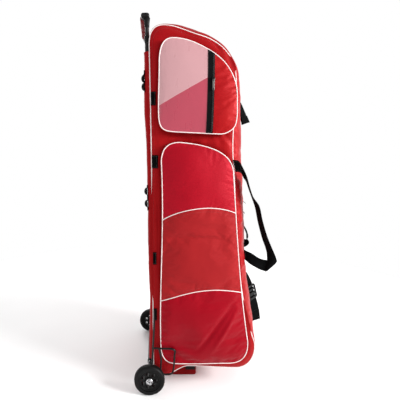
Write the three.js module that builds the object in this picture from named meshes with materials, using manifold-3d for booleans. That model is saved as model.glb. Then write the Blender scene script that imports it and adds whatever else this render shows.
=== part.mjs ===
// Wheeled sports bag that stands upright on two wheels and a foot. Millimetres, +Z up.
// +X is the front of the bag, -Y the side with the pockets, called near, and +Y the far side.
// The origin is the middle of the flat underside of the foot.
import * as THREE from 'three';
import { mergeVertices } from 'three/addons/utils/BufferGeometryUtils.js';
import Module from 'manifold-3d';

const wasm = await Module();
wasm.setup();

// Cloth, trim and clearances
const GAP = 0.3;
const CLOTH = 2.4;
const WEBBING = 2.2;
const PIPING_R = 2.6;
const SEAM = PIPING_R + GAP;
const CORD_SIDES = 5;

// Bag body
const SIDE_FACE = 172.4;
const PIPING_Y = 171;
const BAND_HALF = 168;
const FAR_SPINE = { x: 40, low: 230, high: 1020 };
const FAR_BULGE = [
  { share: 1, rise: 0 },
  { share: 0.76, rise: 0.6 },
  { share: 0.15, rise: 14 },
];
const FRONT_SLIT = 7;
const WAIST_SEAM = 0.5;
const ZIP_HALF = 13;
const ZIP_TAPE = 1.6;

// Wheels and axle
const WHEEL_R = 52.5;
const WHEEL_HALF_WIDTH = 12;
const RIM_R = 38;
const WHEEL_SIDES = 28;
const WHEEL_Y = 203.6;
const AXLE_R = 4;
const AXLE_HALF = 213;
const AXLE = { x: -96, z: WHEEL_R };
const HUB_HOLES = 7;
const HUB = { halfWidth: 7, holeRing: 23, holeR: 6.5, bossR: 11, boss: 13, bossLength: 22.7 };
const HUB_CAP = { from: 10, to: 17, r: 12.5 };

// Foot under the bag
const FOOT_HALF_X = 76;
const FOOT_HALF_Y = 110;
const FOOT_TOP = 58;
const FOOT_BOSS_R = 9;

// Telescopic trolley, measured along its tubes from the top of the foot
const TUBE_LEAN = THREE.MathUtils.degToRad(1.28);
const TUBE_FOOT_X = -77.5;
const TUBE_Y = 95;
const OUTER_TUBE_R = 8.5;
const TUBE_BORE_R = 6.9;
const INNER_TUBE_R = 6.5;
const SLEEVE_BORE_R = 9;
const SLEEVE_R = SLEEVE_BORE_R + CLOTH;
const OUTER_TUBE = { from: 0.6, to: 1148 };
const SLEEVE = { from: 16, to: 1097 };
const INNER_TUBE = { from: 760, to: 1203 };
const GRIP = { back: -20, front: 6, bottom: 1202, top: 1221, half: 81 };
const HANDLE_END = { back: -19, front: 9, bottom: 1203.3, top: 1220, outer: 108 };

// Side racks of welded wire, beside the wheels: the leg from its eye up, and the wire from the leg round
const RACK_Y = 187;
const LEG_R = 3.3;
const WIRE_R = 2.7;
const RACK_EYE = { r: 9, half: 2.7 };
const RACK_LEG = [
  { x: -95, y: 187, z: 58.5 },
  { x: -88, y: 187, z: 95 },
  { x: -84, y: 187, z: 157 },
  { x: -80.5, y: 186, z: 235 },
];
const RACK_LEG_TOP = { x: -79, z: 288 };
const RACK_WIRE = [
  { x: -84, z: 157 },
  { x: -50, z: 155 },
  { x: -18, z: 153 },
  { x: -9, z: 147 },
  { x: -10, z: 130 },
  { x: -14, z: 75 },
  { x: -20, z: 63 },
  { x: -48, z: 61 },
  { x: -56, z: 68 },
  { x: -56, z: 118 },
  { x: -63, z: 154 },
];

// Pockets on the near side: height of the rim above the panel, and the crown of the face
const POCKET_RIM = 26;
const POCKET_PUFF = 13;
const FACE_CLOTH = 2;
const VINYL = 1;
const ARC_R = 2.2;
const PUFF_REACH = 38;
const FACE_GRID = { columns: 9, rows: 5 };
const ARC_STEPS = 12;
const RACK_DENT = { x: -45, z: 118, reach: 85, share: 0.78 };

// Webbing
const STRAP_WIDTH = 38;
const TAB_HEIGHT = 42;
const TAB_LIFT = { near: GAP, far: 0.9 };
const LOOP_WIDTH = 24;

// Outline of the side panels, one curve a row: where it ends, its handles and its steps
const OUTLINE_START = [-50, 47];
const OUTLINE = [
  { part: 'heel', by: [-80, 47, -80, 60], to: [-82, 108], steps: 4 },
  { part: 'back', by: [-86, 500, -86, 800], to: [-95, 1150], steps: 7 },
  { part: 'top corner', by: [-96, 1190, -82, 1211], to: [-50, 1211], steps: 5 },
  { part: 'sloping top', by: [60, 1209, 176, 1150], to: [178, 1045], steps: 8 },
  { part: 'waist', by: [180, 960, 164, 850], to: [181, 760], steps: 5 },
  { part: 'front', by: [191, 560, 205, 335], to: [266, 175], steps: 7 },
  { part: 'toe corner', by: [278, 137, 262, 75], to: [205, 75], steps: 5 },
  { part: 'bottom', by: [150, 76, 90, 82], to: [40, 82], steps: 3 },
  { part: 'dip', by: [10, 82, -15, 47], to: [-50, 47], steps: 4 },
];

// How far the front panel stands out of its seams in the middle, by its share of length
const CROWN = [
  { along: 0.0, rise: 3 },
  { along: 0.05, rise: 17 },
  { along: 0.12, rise: 34 },
  { along: 0.26, rise: 32 },
  { along: 0.32, rise: 39 },
  { along: 0.42, rise: 55 },
  { along: 0.5, rise: 53 },
  { along: 0.6, rise: 54 },
  { along: 0.7, rise: 49 },
  { along: 0.78, rise: 46 },
  { along: 0.85, rise: 38 },
  { along: 0.91, rise: 16 },
  { along: 0.96, rise: 6 },
  { along: 1.0, rise: 2 },
];

// Pocket outlines, walked left side, top, right side, bottom, and how far inside them the faces end
const UPPER_POCKET = {
  inset: SEAM,
  start: [-66, 950],
  left: [{ by: [-66.5, 1000, -64, 1050], to: [-64, 1095], steps: 3 }],
  top: [
    { by: [-63, 1140, -52, 1163], to: [-22, 1163], steps: 5 },
    { by: [60, 1162, 166, 1090], to: [170, 1000], steps: 8 },
  ],
  right: [{ by: [171, 980, 172, 960], to: [172, 940], steps: 2 }],
  bottom: [
    { by: [172, 900, 160, 878], to: [125, 878], steps: 4 },
    { by: [80, 880, 40, 882], to: [0, 884], steps: 2 },
    { by: [-54, 886, -66, 889], to: [-66, 950], steps: 4 },
  ],
};
const LOWER_POCKET = {
  inset: SEAM + 0.7,
  start: [-57, 170],
  left: [{ by: [-64, 400, -45, 560], to: [-57, 790], steps: 6 }],
  top: [
    { by: [-57, 830, -40, 852], to: [0, 852], steps: 4 },
    { by: [70, 846, 164, 830], to: [171, 760], steps: 6 },
  ],
  right: [{ by: [186, 600, 199, 400], to: [236, 190], steps: 6 }],
  bottom: [
    { by: [241, 135, 220, 109], to: [170, 109], steps: 5 },
    { by: [110, 108, 60, 99], to: [0, 96], steps: 2 },
    { by: [-38, 94, -57, 112], to: [-57, 170], steps: 4 },
  ],
};
const ARCS = {
  lower: { left: 332, handles: [10, 356, 90, 394], right: 362 },
  upper: { left: 606, handles: [10, 648, 110, 660], right: 628 },
};
const POCKET_ZIP = { bottom: 92, top: 94, half: 9.5 };

// Webbing tabs along the back edge of each side panel
const SIDE_TABS = [
  { z: 272, width: 9 },
  { z: 471, width: 9 },
  { z: 792, width: 17 },
  { z: 990, width: 13 },
];

// Lash loops on the back of the near sleeve: middles of their two arches, along the tube
const LASH_LOOPS = {
  upper: { low: 989, high: 1016 },
  lower: { low: 587, high: 631 },
};
const LASH_ARCH = { half: 12, rise: 11 };

// Carry strap, from its root on the side panel to its end on the front: its middle, for the far side,
// and the way that its width points
const CARRY_STRAP = [
  { at: [182, 176.2, 784], across: [0.25, 0, 0.97] },
  { at: [194, 181.5, 777], across: [0.4, 0, 0.9] },
  { at: [209, 181, 760], across: [0.45, 0.55, 0.65] },
  { at: [220, 172, 728], across: [-0.1, 0.95, 0.3] },
  { at: [235, 166, 695], across: [-0.3, 0.94, 0] },
  { at: [248, 160, 668], across: [-0.2, 0.96, 0] },
  { at: [263, 154, 631], across: [0.1, 0.98, 0.05] },
  { at: [286, 146, 561], across: [0.12, 0.98, 0.08] },
  { at: [310, 138, 494], across: [0.12, 0.98, 0.08] },
  { at: [325, 132, 450], across: [0.3, 0.9, 0.2] },
  { at: [320, 129, 428], across: [0.4, 0.6, 0.7] },
  { at: [301, 126, 427], across: [0.1, 0.4, 0.9] },
  { at: [271, 116, 443], across: [0.1, 0.3, 0.95] },
  { at: [252, 104, 461], across: [0, 0.1, 1] },
  { at: [254, 86, 464], across: [-0.1, 0, 1] },
];

// Loose straps on the front, beside the zip
const FRONT_STRAP_Y = -34;
const UPPER_STRAP = [
  { z: 1052, off: 2.2, across: [0, 1, 0] },
  { z: 1030, off: 6, across: [0.1, 1, 0] },
  { z: 1000, off: 15, across: [0.4, 0.9, 0.1] },
  { z: 965, off: 24, across: [0.7, 0.7, 0.2] },
  { z: 930, off: 33, across: [0.8, 0.5, 0.3] },
];
const LOWER_STRAP = [
  { z: 398, off: 2.2, across: [0, 1, 0] },
  { z: 382, off: 4.4, across: [0.12, 1, 0] },
  { z: 354, off: 9.5, across: [0.4, 0.91, 0.08] },
  { z: 322, off: 13, across: [0.55, 0.82, 0.13] },
  { z: 290, off: 15.5, across: [0.6, 0.78, 0.15] },
  { z: 235, off: 20, across: [0.66, 0.72, 0.17] },
  { z: 180, off: 23, across: [0.76, 0.62, 0.2] },
];
const BUCKLE_LIFT = 1.6;
const BUCKLE = { z: 292, width: 48, length: 56, depth: 9 };

// Zips and their pulls
const ZIP_SPAN = { from: 0.12, to: 0.93 };
const POCKET_PULL_Z = 1040;
const FRONT_PULLS = { upper: 655, lower: 618 };
const PULL = { body: 12, depth: 6, tab: 5, length: 30, lift: 1.3 };

// Finishes
function finish(color, roughness, metalness) {
  return new THREE.MeshStandardMaterial({ color, roughness, metalness });
}
const redCloth = finish(0xb8202a, 0.85, 0);
const crimsonSatin = finish(0xc02038, 0.5, 0);
const whitePiping = finish(0xf2e6e4, 0.6, 0);
const hazyVinyl = finish(0xd9a3a8, 0.25, 0);
const blackWebbing = finish(0x141416, 0.9, 0);
const blackZip = finish(0x0c0c0d, 0.7, 0);
const blackPlastic = finish(0x17181a, 0.5, 0);
const blackMetal = finish(0x111214, 0.35, 0.3);
const blackRubber = finish(0x19191b, 0.8, 0);
const silverMetal = finish(0xb9bcc0, 0.3, 1);
const redGrip = finish(0x8c2326, 0.6, 0);

const bag = new THREE.Group();

function add(name, geometry, material, parent = bag) {
  const mesh = new THREE.Mesh(geometry, material);
  mesh.name = name;
  parent.add(mesh);
  return mesh;
}

const vec = (x, y, z) => new THREE.Vector3(x, y, z);
const smooth = (edge0, edge1, value) => THREE.MathUtils.smoothstep(value, edge0, edge1);

// A closed solid from corner points and faces of three or four sides, turned so that they point out
function solid(points, faces) {
  const position = new Float32Array(points.flatMap((p) => [p.x, p.y, p.z]));
  const index = faces.flatMap(([a, b, c, d]) => (d === undefined ? [a, b, c] : [a, b, c, a, c, d]));
  let volume = 0;
  for (let i = 0; i < index.length; i += 3) {
    const [a, b, c] = [points[index[i]], points[index[i + 1]], points[index[i + 2]]];
    volume += a.dot(b.clone().cross(c));
  }
  if (volume < 0) index.reverse();
  const geometry = new THREE.BufferGeometry();
  geometry.setAttribute('position', new THREE.BufferAttribute(position, 3));
  geometry.setIndex(index);
  geometry.computeVertexNormals();
  return geometry;
}

// Unit normals of a grid of points
function gridNormals(grid) {
  const rows = grid.length - 1;
  const cols = grid[0].length - 1;
  return grid.map((row, i) => row.map((point, j) => {
    const along = grid[Math.min(i + 1, rows)][j].clone().sub(grid[Math.max(i - 1, 0)][j]);
    const across = grid[i][Math.min(j + 1, cols)].clone().sub(grid[i][Math.max(j - 1, 0)]);
    return along.cross(across).normalize();
  }));
}

// A wall of even thickness behind a grid of points; toward is a point on its inner side
function gridShell(grid, thickness, toward) {
  const normals = gridNormals(grid);
  const rows = grid.length;
  const cols = grid[0].length;
  const middle = grid[rows >> 1][cols >> 1];
  const inward = toward.clone().sub(middle).dot(normals[rows >> 1][cols >> 1]) > 0 ? 1 : -1;
  const outer = grid.flat();
  const inner = outer.map((p, k) => p.clone().addScaledVector(normals.flat()[k], inward * thickness));
  const at = (i, j, side) => side * rows * cols + i * cols + j;
  const quads = [];
  for (let i = 0; i + 1 < rows; i++) {
    for (let j = 0; j + 1 < cols; j++) {
      quads.push([at(i, j, 0), at(i + 1, j, 0), at(i + 1, j + 1, 0), at(i, j + 1, 0)]);
      quads.push([at(i, j, 1), at(i, j + 1, 1), at(i + 1, j + 1, 1), at(i + 1, j, 1)]);
    }
  }
  for (let i = 0; i + 1 < rows; i++) {
    quads.push([at(i, 0, 0), at(i, 0, 1), at(i + 1, 0, 1), at(i + 1, 0, 0)]);
    quads.push([at(i, cols - 1, 0), at(i + 1, cols - 1, 0), at(i + 1, cols - 1, 1), at(i, cols - 1, 1)]);
  }
  for (let j = 0; j + 1 < cols; j++) {
    quads.push([at(0, j, 0), at(0, j + 1, 0), at(0, j + 1, 1), at(0, j, 1)]);
    quads.push([at(rows - 1, j, 0), at(rows - 1, j, 1), at(rows - 1, j + 1, 1), at(rows - 1, j + 1, 0)]);
  }
  return solid([...outer, ...inner], quads);
}

// A ring-shaped solid through closed loops of equal count, the last joined to the first
function loopSolid(loops) {
  const count = loops[0].length;
  const quads = [];
  loops.forEach((loop, k) => {
    const next = (k + 1) % loops.length;
    for (let i = 0; i < count; i++) {
      const j = (i + 1) % count;
      quads.push([k * count + i, k * count + j, next * count + j, next * count + i]);
    }
  });
  return solid(loops.flat(), quads);
}

// A bar through four-cornered sections, closed at its ends
function sectionBar(sections) {
  const sides = sections[0].length;
  const last = (sections.length - 1) * sides;
  const quads = [];
  for (let k = 0; k + 1 < sections.length; k++) {
    for (let s = 0; s < sides; s++) {
      const n = (s + 1) % sides;
      quads.push([k * sides + s, k * sides + n, (k + 1) * sides + n, (k + 1) * sides + s]);
    }
  }
  quads.push([3, 2, 1, 0]);
  quads.push([last, last + 1, last + 2, last + 3]);
  return solid(sections.flat(), quads);
}

// Joins closed geometries into one
function union(...geometries) {
  const solids = geometries.map((geometry) => {
    const bare = geometry.clone();
    bare.deleteAttribute('normal');
    bare.deleteAttribute('uv');
    const merged = mergeVertices(bare, 1e-4);
    return new wasm.Manifold(new wasm.Mesh({
      numProp: 3,
      vertProperties: new Float32Array(merged.attributes.position.array),
      triVerts: new Uint32Array(merged.index.array),
    }));
  });
  const mesh = solids.reduce((whole, next) => whole.add(next)).getMesh();
  const geometry = new THREE.BufferGeometry();
  geometry.setAttribute('position', new THREE.BufferAttribute(mesh.vertProperties, 3));
  geometry.setIndex(new THREE.BufferAttribute(mesh.triVerts, 1));
  geometry.computeVertexNormals();
  return geometry;
}

// A shape drawn in X and Z, extruded between two Y values
function alongY(shape, from, to, curveSegments = 6) {
  const geometry = new THREE.ExtrudeGeometry(shape, {
    depth: to - from, bevelEnabled: false, curveSegments,
  });
  return geometry.rotateX(Math.PI / 2).translate(0, to, 0);
}

// A round bar through points, with its ends cut square
function rod(points, radius, sides, steps) {
  const path = new THREE.CatmullRomCurve3(points, false, 'centripetal');
  const section = new THREE.Shape();
  for (let s = 0; s < sides; s++) {
    const angle = (s / sides) * Math.PI * 2;
    const place = [radius * Math.cos(angle), radius * Math.sin(angle)];
    if (s === 0) section.moveTo(...place);
    else section.lineTo(...place);
  }
  section.closePath();
  return new THREE.ExtrudeGeometry(section, { extrudePath: path, steps, bevelEnabled: false });
}

// Points of a chain of curves, without the point that it starts from
function walk(start, rows) {
  const points = [];
  let from = new THREE.Vector2(...start);
  for (const { by, to, steps } of rows) {
    const [ax, az, bx, bz] = by;
    const end = new THREE.Vector2(...to);
    const curve = new THREE.CubicBezierCurve(
      from, new THREE.Vector2(ax, az), new THREE.Vector2(bx, bz), end);
    points.push(...curve.getPoints(steps).slice(1));
    from = end;
  }
  return points;
}

// Unit outward normals of a clockwise line of points, open or closed
function outward(points, closed = true) {
  const last = points.length - 1;
  return points.map((point, i) => {
    const before = closed ? points[(i + last) % (last + 1)] : points[Math.max(i - 1, 0)];
    const after = closed ? points[(i + 1) % (last + 1)] : points[Math.min(i + 1, last)];
    const run = after.clone().sub(before).normalize();
    return new THREE.Vector2(-run.y, run.x);
  });
}

function offset(points, distance, closed = true) {
  const normals = outward(points, closed);
  return points.map((p, i) => p.clone().addScaledVector(normals[i], distance));
}

// A round cord sewn along a closed outline; depth gives its Y at a point
function pipingLoop(line, depth) {
  const normals = outward(line);
  const loops = [];
  for (let s = 0; s < CORD_SIDES; s++) {
    const angle = (s / CORD_SIDES) * Math.PI * 2;
    loops.push(line.map((p, i) => {
      const out = p.clone().addScaledVector(normals[i], PIPING_R * Math.cos(angle));
      return vec(out.x, depth(p) + PIPING_R * Math.sin(angle), out.y);
    }));
  }
  return loopSolid(loops);
}

// Height of a point on a chain of points, read at a given place along it
function readAt(points, key, other, value) {
  for (let i = 0; i + 1 < points.length; i++) {
    const [a, b] = [points[i], points[i + 1]];
    if ((a[other] - value) * (b[other] - value) <= 0 && a[other] !== b[other]) {
      return THREE.MathUtils.lerp(a[key], b[key], (value - a[other]) / (b[other] - a[other]));
    }
  }
  return points[0][key];
}

// Body outline, clockwise from the middle of the heel
const outline = walk(OUTLINE_START, OUTLINE);
const stepsTo = (part) => {
  const upTo = OUTLINE.findIndex((row) => row.part === part);
  return OUTLINE.slice(0, upTo + 1).reduce((sum, row) => sum + row.steps, 0);
};
const closedOutline = [new THREE.Vector2(...OUTLINE_START), ...outline];
const backLine = closedOutline.slice(0, stepsTo('back') + 1);
const frontLine = closedOutline.slice(stepsTo('back'), stepsTo('toe corner') + 1);
const bottomLine = closedOutline.slice(stepsTo('toe corner'));
const bagMiddle = vec(40, 0, 640);

// The middle of a trolley tube at a height above the floor
function tubeX(z) {
  return TUBE_FOOT_X - Math.tan(TUBE_LEAN) * (z - FOOT_TOP);
}

// The middle of the back and bottom is flat, where the tubes and the foot lie against it
const FLAT_COLUMNS = [-168, -150, -132, -114, 0, 114, 132, 150, 168];
const flatShare = (y) => 1 - smooth(FLAT_COLUMNS[5], BAND_HALF, Math.abs(y));

function clearOfTubes(x, y, z) {
  return THREE.MathUtils.lerp(x, Math.max(x, tubeX(z) + SLEEVE_R + 2 * GAP), flatShare(y));
}

// Front panels: how far the middle stands out at a share of the panel's length
function crownRise(along) {
  const next = Math.max(1, CROWN.findIndex((row) => row.along >= Math.min(along, 1)));
  const [a, b] = [CROWN[next - 1], CROWN[next]];
  return THREE.MathUtils.lerp(a.rise, b.rise, smooth(a.along, b.along, along));
}

const frontNormals = outward(frontLine, false);
const frontLengths = frontLine.map((p, i) => (i ? p.distanceTo(frontLine[i - 1]) : 0));
const frontTotal = frontLengths.reduce((sum, length) => sum + length, 0);
let walked = 0;
const frontRises = frontLengths.map((length) => crownRise((walked += length) / frontTotal));

// A point of the front at one row, y across and off above the cloth
function frontPoint(row, y, off = 0) {
  const rise = frontRises[row] * Math.sqrt(Math.max(0, 1 - (y / BAND_HALF) ** 2)) + off;
  const place = frontLine[row].clone().addScaledVector(frontNormals[row], rise);
  return vec(clearOfTubes(place.x, y, place.y), y, place.y);
}

// X of the front cloth at a height and a place across
function frontX(z, y) {
  const fromTop = stepsTo('sloping top') - stepsTo('back');
  const column = frontLine.map((p, row) => frontPoint(row, y)).slice(fromTop - 3);
  return readAt(column, 'x', 'z', z);
}

// One side of the front between two of its rows, with the seam at the waist left open by a hair
function frontPanel(name, side, from, to) {
  const columns = 5;
  const start = -Math.PI / 2;
  const end = -Math.asin(FRONT_SLIT / BAND_HALF);
  const grid = [];
  for (let row = from; row <= to; row++) {
    grid.push(Array.from({ length: columns + 1 }, (_, j) => {
      const angle = THREE.MathUtils.lerp(start, end, j / columns);
      return frontPoint(row, side * -BAND_HALF * Math.sin(angle));
    }));
  }
  if (from > 0) grid[0].forEach((p, j) => p.lerp(grid[1][j], WAIST_SEAM / p.distanceTo(grid[1][j])));
  add(name, gridShell(grid, CLOTH, bagMiddle), redCloth);
}
const waistRow = stepsTo('waist') - stepsTo('back');
for (const [name, side] of [['near', -1], ['far', 1]]) {
  frontPanel(`front_upper_${name}`, side, 0, waistRow);
  frontPanel(`front_lower_${name}`, side, waistRow, frontLine.length - 1);
}

function backPanel() {
  const rows = backLine.slice(0, -1);
  rows.push(backLine.at(-1).clone().lerp(backLine.at(-2), 0.01));
  const grid = rows.map((p) => FLAT_COLUMNS.map((y) => {
    const z = THREE.MathUtils.lerp(p.y, Math.max(p.y, FOOT_TOP + 2 * GAP), flatShare(y));
    return vec(clearOfTubes(p.x, y, p.y), y, z);
  }));
  add('back_panel', gridShell(grid, CLOTH, bagMiddle), redCloth);
}
backPanel();

function bottomPanel() {
  const rows = [bottomLine[0].clone().lerp(bottomLine[1], 0.03), ...bottomLine.slice(1, -1)];
  rows.push(bottomLine.at(-1).clone().lerp(bottomLine.at(-2), 0.06));
  const grid = rows.map((p) => FLAT_COLUMNS.map((y) => {
    const rests = 1 - smooth(FOOT_HALF_X, bottomLine[0].x, p.x);
    const middle = THREE.MathUtils.lerp(p.y, FOOT_TOP + 2 * GAP, rests);
    return vec(p.x, y, THREE.MathUtils.lerp(p.y, middle, flatShare(y)));
  }));
  add('bottom_panel', gridShell(grid, CLOTH, bagMiddle), redCloth);
}
bottomPanel();

// Side panels: flat under the pockets, crowned on the far side
const panelLine = offset(outline, -SEAM);

function nearPanel() {
  const shape = new THREE.Shape(panelLine);
  add('side_panel_near', alongY(shape, -SIDE_FACE, -SIDE_FACE + CLOTH), redCloth);
}
nearPanel();

function farPanel() {
  const { x, low, high } = FAR_SPINE;
  const sheet = (lift) => FAR_BULGE.map(({ share, rise }) => panelLine.map((p) => {
    const core = new THREE.Vector2(x, THREE.MathUtils.clamp(p.y, low, high));
    const place = core.lerp(p, share);
    return vec(place.x, SIDE_FACE + rise + lift, place.y);
  }));
  add('side_panel_far', cappedRings(sheet(0), sheet(-CLOTH)), redCloth);
}

// A sheet of nested rings and the sheet behind it, closed in the middle and round the edge
function cappedRings(outer, inner) {
  const count = outer[0].length;
  const depth = outer.length;
  const points = [...outer.flat(), ...inner.flat()];
  const at = (side, ring, i) => (side * depth + ring) * count + (i % count);
  const quads = [];
  for (let i = 0; i < count; i++) {
    for (let r = 0; r + 1 < depth; r++) {
      quads.push([at(0, r, i), at(0, r, i + 1), at(0, r + 1, i + 1), at(0, r + 1, i)]);
      quads.push([at(1, r, i), at(1, r + 1, i), at(1, r + 1, i + 1), at(1, r, i + 1)]);
    }
    quads.push([at(0, 0, i), at(1, 0, i), at(1, 0, i + 1), at(0, 0, i + 1)]);
  }
  const core = THREE.ShapeUtils.triangulateShape(outer.at(-1).map((p) => new THREE.Vector2(p.x, p.z)), []);
  for (const corners of core) {
    const [a, b, c] = corners.map((i) => outer.at(-1)[i]);
    const turn = (b.x - a.x) * (c.z - a.z) - (b.z - a.z) * (c.x - a.x);
    const ring = turn < 0 ? corners : corners.toReversed();
    quads.push(ring.map((i) => at(0, depth - 1, i)));
    quads.push(ring.toReversed().map((i) => at(1, depth - 1, i)));
  }
  return solid(points, quads);
}
farPanel();

add('side_piping_near', pipingLoop(outline, () => -PIPING_Y), whitePiping);
add('side_piping_far', pipingLoop(outline, () => PIPING_Y), whitePiping);

// Pockets on the near side
function pocketLines({ inset, start, left, top, right, bottom }) {
  const chains = { left, top, right, bottom };
  const points = [new THREE.Vector2(...start)];
  const ends = [0];
  for (const rows of Object.values(chains)) {
    points.push(...walk(points.at(-1).toArray(), rows));
    ends.push(points.length - 1);
  }
  const loop = points.slice(0, -1);
  const faceLine = offset(loop, -inset);
  faceLine.push(faceLine[0]);
  const lines = { loop };
  Object.keys(chains).forEach((name, k) => {
    lines[name] = faceLine.slice(ends[k], ends[k + 1] + 1);
  });
  lines.right.reverse();
  lines.bottom.reverse();
  return lines;
}

// Shortest way from a point to a closed line
function distanceTo(loop, p) {
  const nearest = new THREE.Vector3();
  const spot = vec(p.x, p.y, 0);
  return Math.min(...loop.map((a, i) => {
    const b = loop[(i + 1) % loop.length];
    const segment = new THREE.Line3(vec(a.x, a.y, 0), vec(b.x, b.y, 0));
    return segment.closestPointToPoint(spot, true, nearest).distanceTo(spot);
  }));
}

// How far a pocket stands off the panel, pressed in where the wire rack lies on it
function proud(p, puff = 0) {
  const away = (p.x - RACK_DENT.x) ** 2 + (p.y - RACK_DENT.z) ** 2;
  const dent = RACK_DENT.share * Math.exp(-away / (2 * RACK_DENT.reach ** 2));
  return (POCKET_RIM + puff) * (1 - dent);
}
const rimY = (p) => -(SIDE_FACE + proud(p));

function faceY(loop, p) {
  const puff = POCKET_PUFF * (1 - Math.exp(-distanceTo(loop, p) / PUFF_REACH));
  return -(SIDE_FACE + proud(p, puff));
}

function pocketWalls(name, lines) {
  const inner = offset(lines.loop, -CLOTH);
  const at = (line, lift) => line.map((p, i) => vec(p.x, lift(lines.loop[i]), p.y));
  const base = () => -(SIDE_FACE + GAP);
  const rim = (p) => rimY(p) + SEAM;
  const loops = [at(lines.loop, base), at(lines.loop, rim), at(inner, rim), at(inner, base)];
  add(`${name}_gusset`, loopSolid(loops), redCloth);
  add(`${name}_piping`, pipingLoop(lines.loop, rimY), whitePiping);
}

// Evenly spaced points on an open line
function respace(line, count) {
  const lengths = line.map((p, i) => (i ? p.distanceTo(line[i - 1]) : 0));
  let sum = 0;
  const at = lengths.map((length) => (sum += length));
  return Array.from({ length: count + 1 }, (_, k) => {
    const want = Math.min((k / count) * sum, sum - 1e-6);
    const i = Math.max(0, at.findIndex((reach) => reach > want) - 1);
    return line[i].clone().lerp(line[i + 1], (want - at[i]) / (at[i + 1] - at[i]));
  });
}

// A face panel between four lines: a patch blended from its edges, crowned off the pocket's rim
function facePanel(name, loop, edges, { columns, rows }, thickness, material) {
  const { left, right, bottom, top } = edges;
  const [l, r] = [respace(left, rows), respace(right, rows)];
  const [b, t] = [respace(bottom, columns), respace(top, columns)];
  const grid = l.map((_, i) => b.map((__, j) => {
    const [u, v] = [j / columns, i / rows];
    const across = l[i].clone().lerp(r[i], u);
    const along = b[j].clone().lerp(t[j], v);
    const corners = l[0].clone().lerp(r[0], u).lerp(l[rows].clone().lerp(r[rows], u), v);
    const p = across.add(along).sub(corners);
    return vec(p.x, faceY(loop, p), p.y);
  }));
  add(name, gridShell(grid, thickness, bagMiddle), material);
}

// The stretch of a line between two values of x or of height
function stretch(line, key, from, to) {
  const other = key === 'x' ? 'y' : 'x';
  const end = (value) => {
    const point = new THREE.Vector2();
    point[key] = value;
    point[other] = readAt(line, other, key, value);
    return point;
  };
  const inside = line.filter((p) => p[key] > from + GAP && p[key] < to - GAP);
  return [end(from), ...inside, end(to)];
}

function lowerPocket() {
  const lines = pocketLines(LOWER_POCKET);
  pocketWalls('lower_pocket', lines);
  const { loop, left, right } = lines;
  const arcs = {};
  for (const [name, arc] of Object.entries(ARCS)) {
    const [ax, az, bx, bz] = arc.handles;
    const middle = new THREE.CubicBezierCurve(
      new THREE.Vector2(readAt(left, 'x', 'y', arc.left), arc.left), new THREE.Vector2(ax, az),
      new THREE.Vector2(bx, bz), new THREE.Vector2(readAt(right, 'x', 'y', arc.right), arc.right),
    ).getSpacedPoints(ARC_STEPS);
    const clear = ARC_R + 2 * GAP;
    arcs[name] = { above: offset(middle, clear, false), below: offset(middle, -clear, false) };
    const path = middle.map((p) => vec(p.x, faceY(loop, p) + FACE_CLOTH / 2, p.y));
    add(`lower_pocket_arc_${name}`, rod(path, ARC_R, CORD_SIDES, ARC_STEPS), whitePiping);
  }
  const side = (line, from, to) => stretch(line, 'y', from.y, to.y);
  const { lower, upper } = arcs;
  const faces = {
    bottom: { bottom: lines.bottom, top: lower.below, material: crimsonSatin },
    middle: { bottom: lower.above, top: upper.below, material: redCloth },
    top: { bottom: upper.above, top: lines.top, material: crimsonSatin },
  };
  for (const [name, { bottom, top, material }] of Object.entries(faces)) {
    const edges = {
      bottom,
      top,
      left: side(left, bottom[0], top[0]),
      right: side(right, bottom.at(-1), top.at(-1)),
    };
    facePanel(`lower_pocket_${name}`, loop, edges, FACE_GRID, FACE_CLOTH, material);
  }
}
lowerPocket();

// A zip slider with its pull tab, drawn facing -Y, its slider's middle at the origin
function zipPull() {
  const { body, tab, length, depth } = PULL;
  const shape = new THREE.Shape([
    [-body / 2, body / 2], [body / 2, body / 2], [body / 2, -body / 2], [tab / 2, -body / 2],
    [tab / 2, -length], [-tab / 2, -length], [-tab / 2, -body / 2], [-body / 2, -body / 2],
  ].map((place) => new THREE.Vector2(...place)));
  return alongY(shape, -depth, 0);
}

function upperPocket() {
  const lines = pocketLines(UPPER_POCKET);
  pocketWalls('upper_pocket', lines);
  const { loop, left, right, top, bottom } = lines;
  const zipLine = (shift) => {
    const [low, high] = [POCKET_ZIP.bottom + shift, POCKET_ZIP.top + shift];
    return [
      new THREE.Vector2(low, readAt(bottom, 'y', 'x', low)),
      new THREE.Vector2(high, readAt(top, 'y', 'x', high)),
    ];
  };
  const between = (a, b) => ({
    left: a,
    right: b,
    bottom: stretch(bottom, 'x', a[0].x, b[0].x),
    top: stretch(top, 'x', a.at(-1).x, b.at(-1).x),
  });
  const { half } = POCKET_ZIP;
  const window = between(left, zipLine(-half - GAP));
  const zip = between(zipLine(-half), zipLine(half));
  const strip = between(zipLine(half + GAP), right);
  facePanel('upper_pocket_window', loop, window, { columns: 8, rows: 6 }, VINYL, hazyVinyl);
  facePanel('upper_pocket_zip', loop, zip, { columns: 2, rows: 6 }, FACE_CLOTH, blackZip);
  facePanel('upper_pocket_strip', loop, strip, { columns: 4, rows: 6 }, FACE_CLOTH, redCloth);
  const seat = new THREE.Vector2(POCKET_ZIP.top, POCKET_PULL_Z);
  const geometry = zipPull().translate(seat.x, faceY(loop, seat) - PULL.lift, seat.y);
  add('upper_pocket_pull', geometry, silverMetal);
}
upperPocket();

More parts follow.
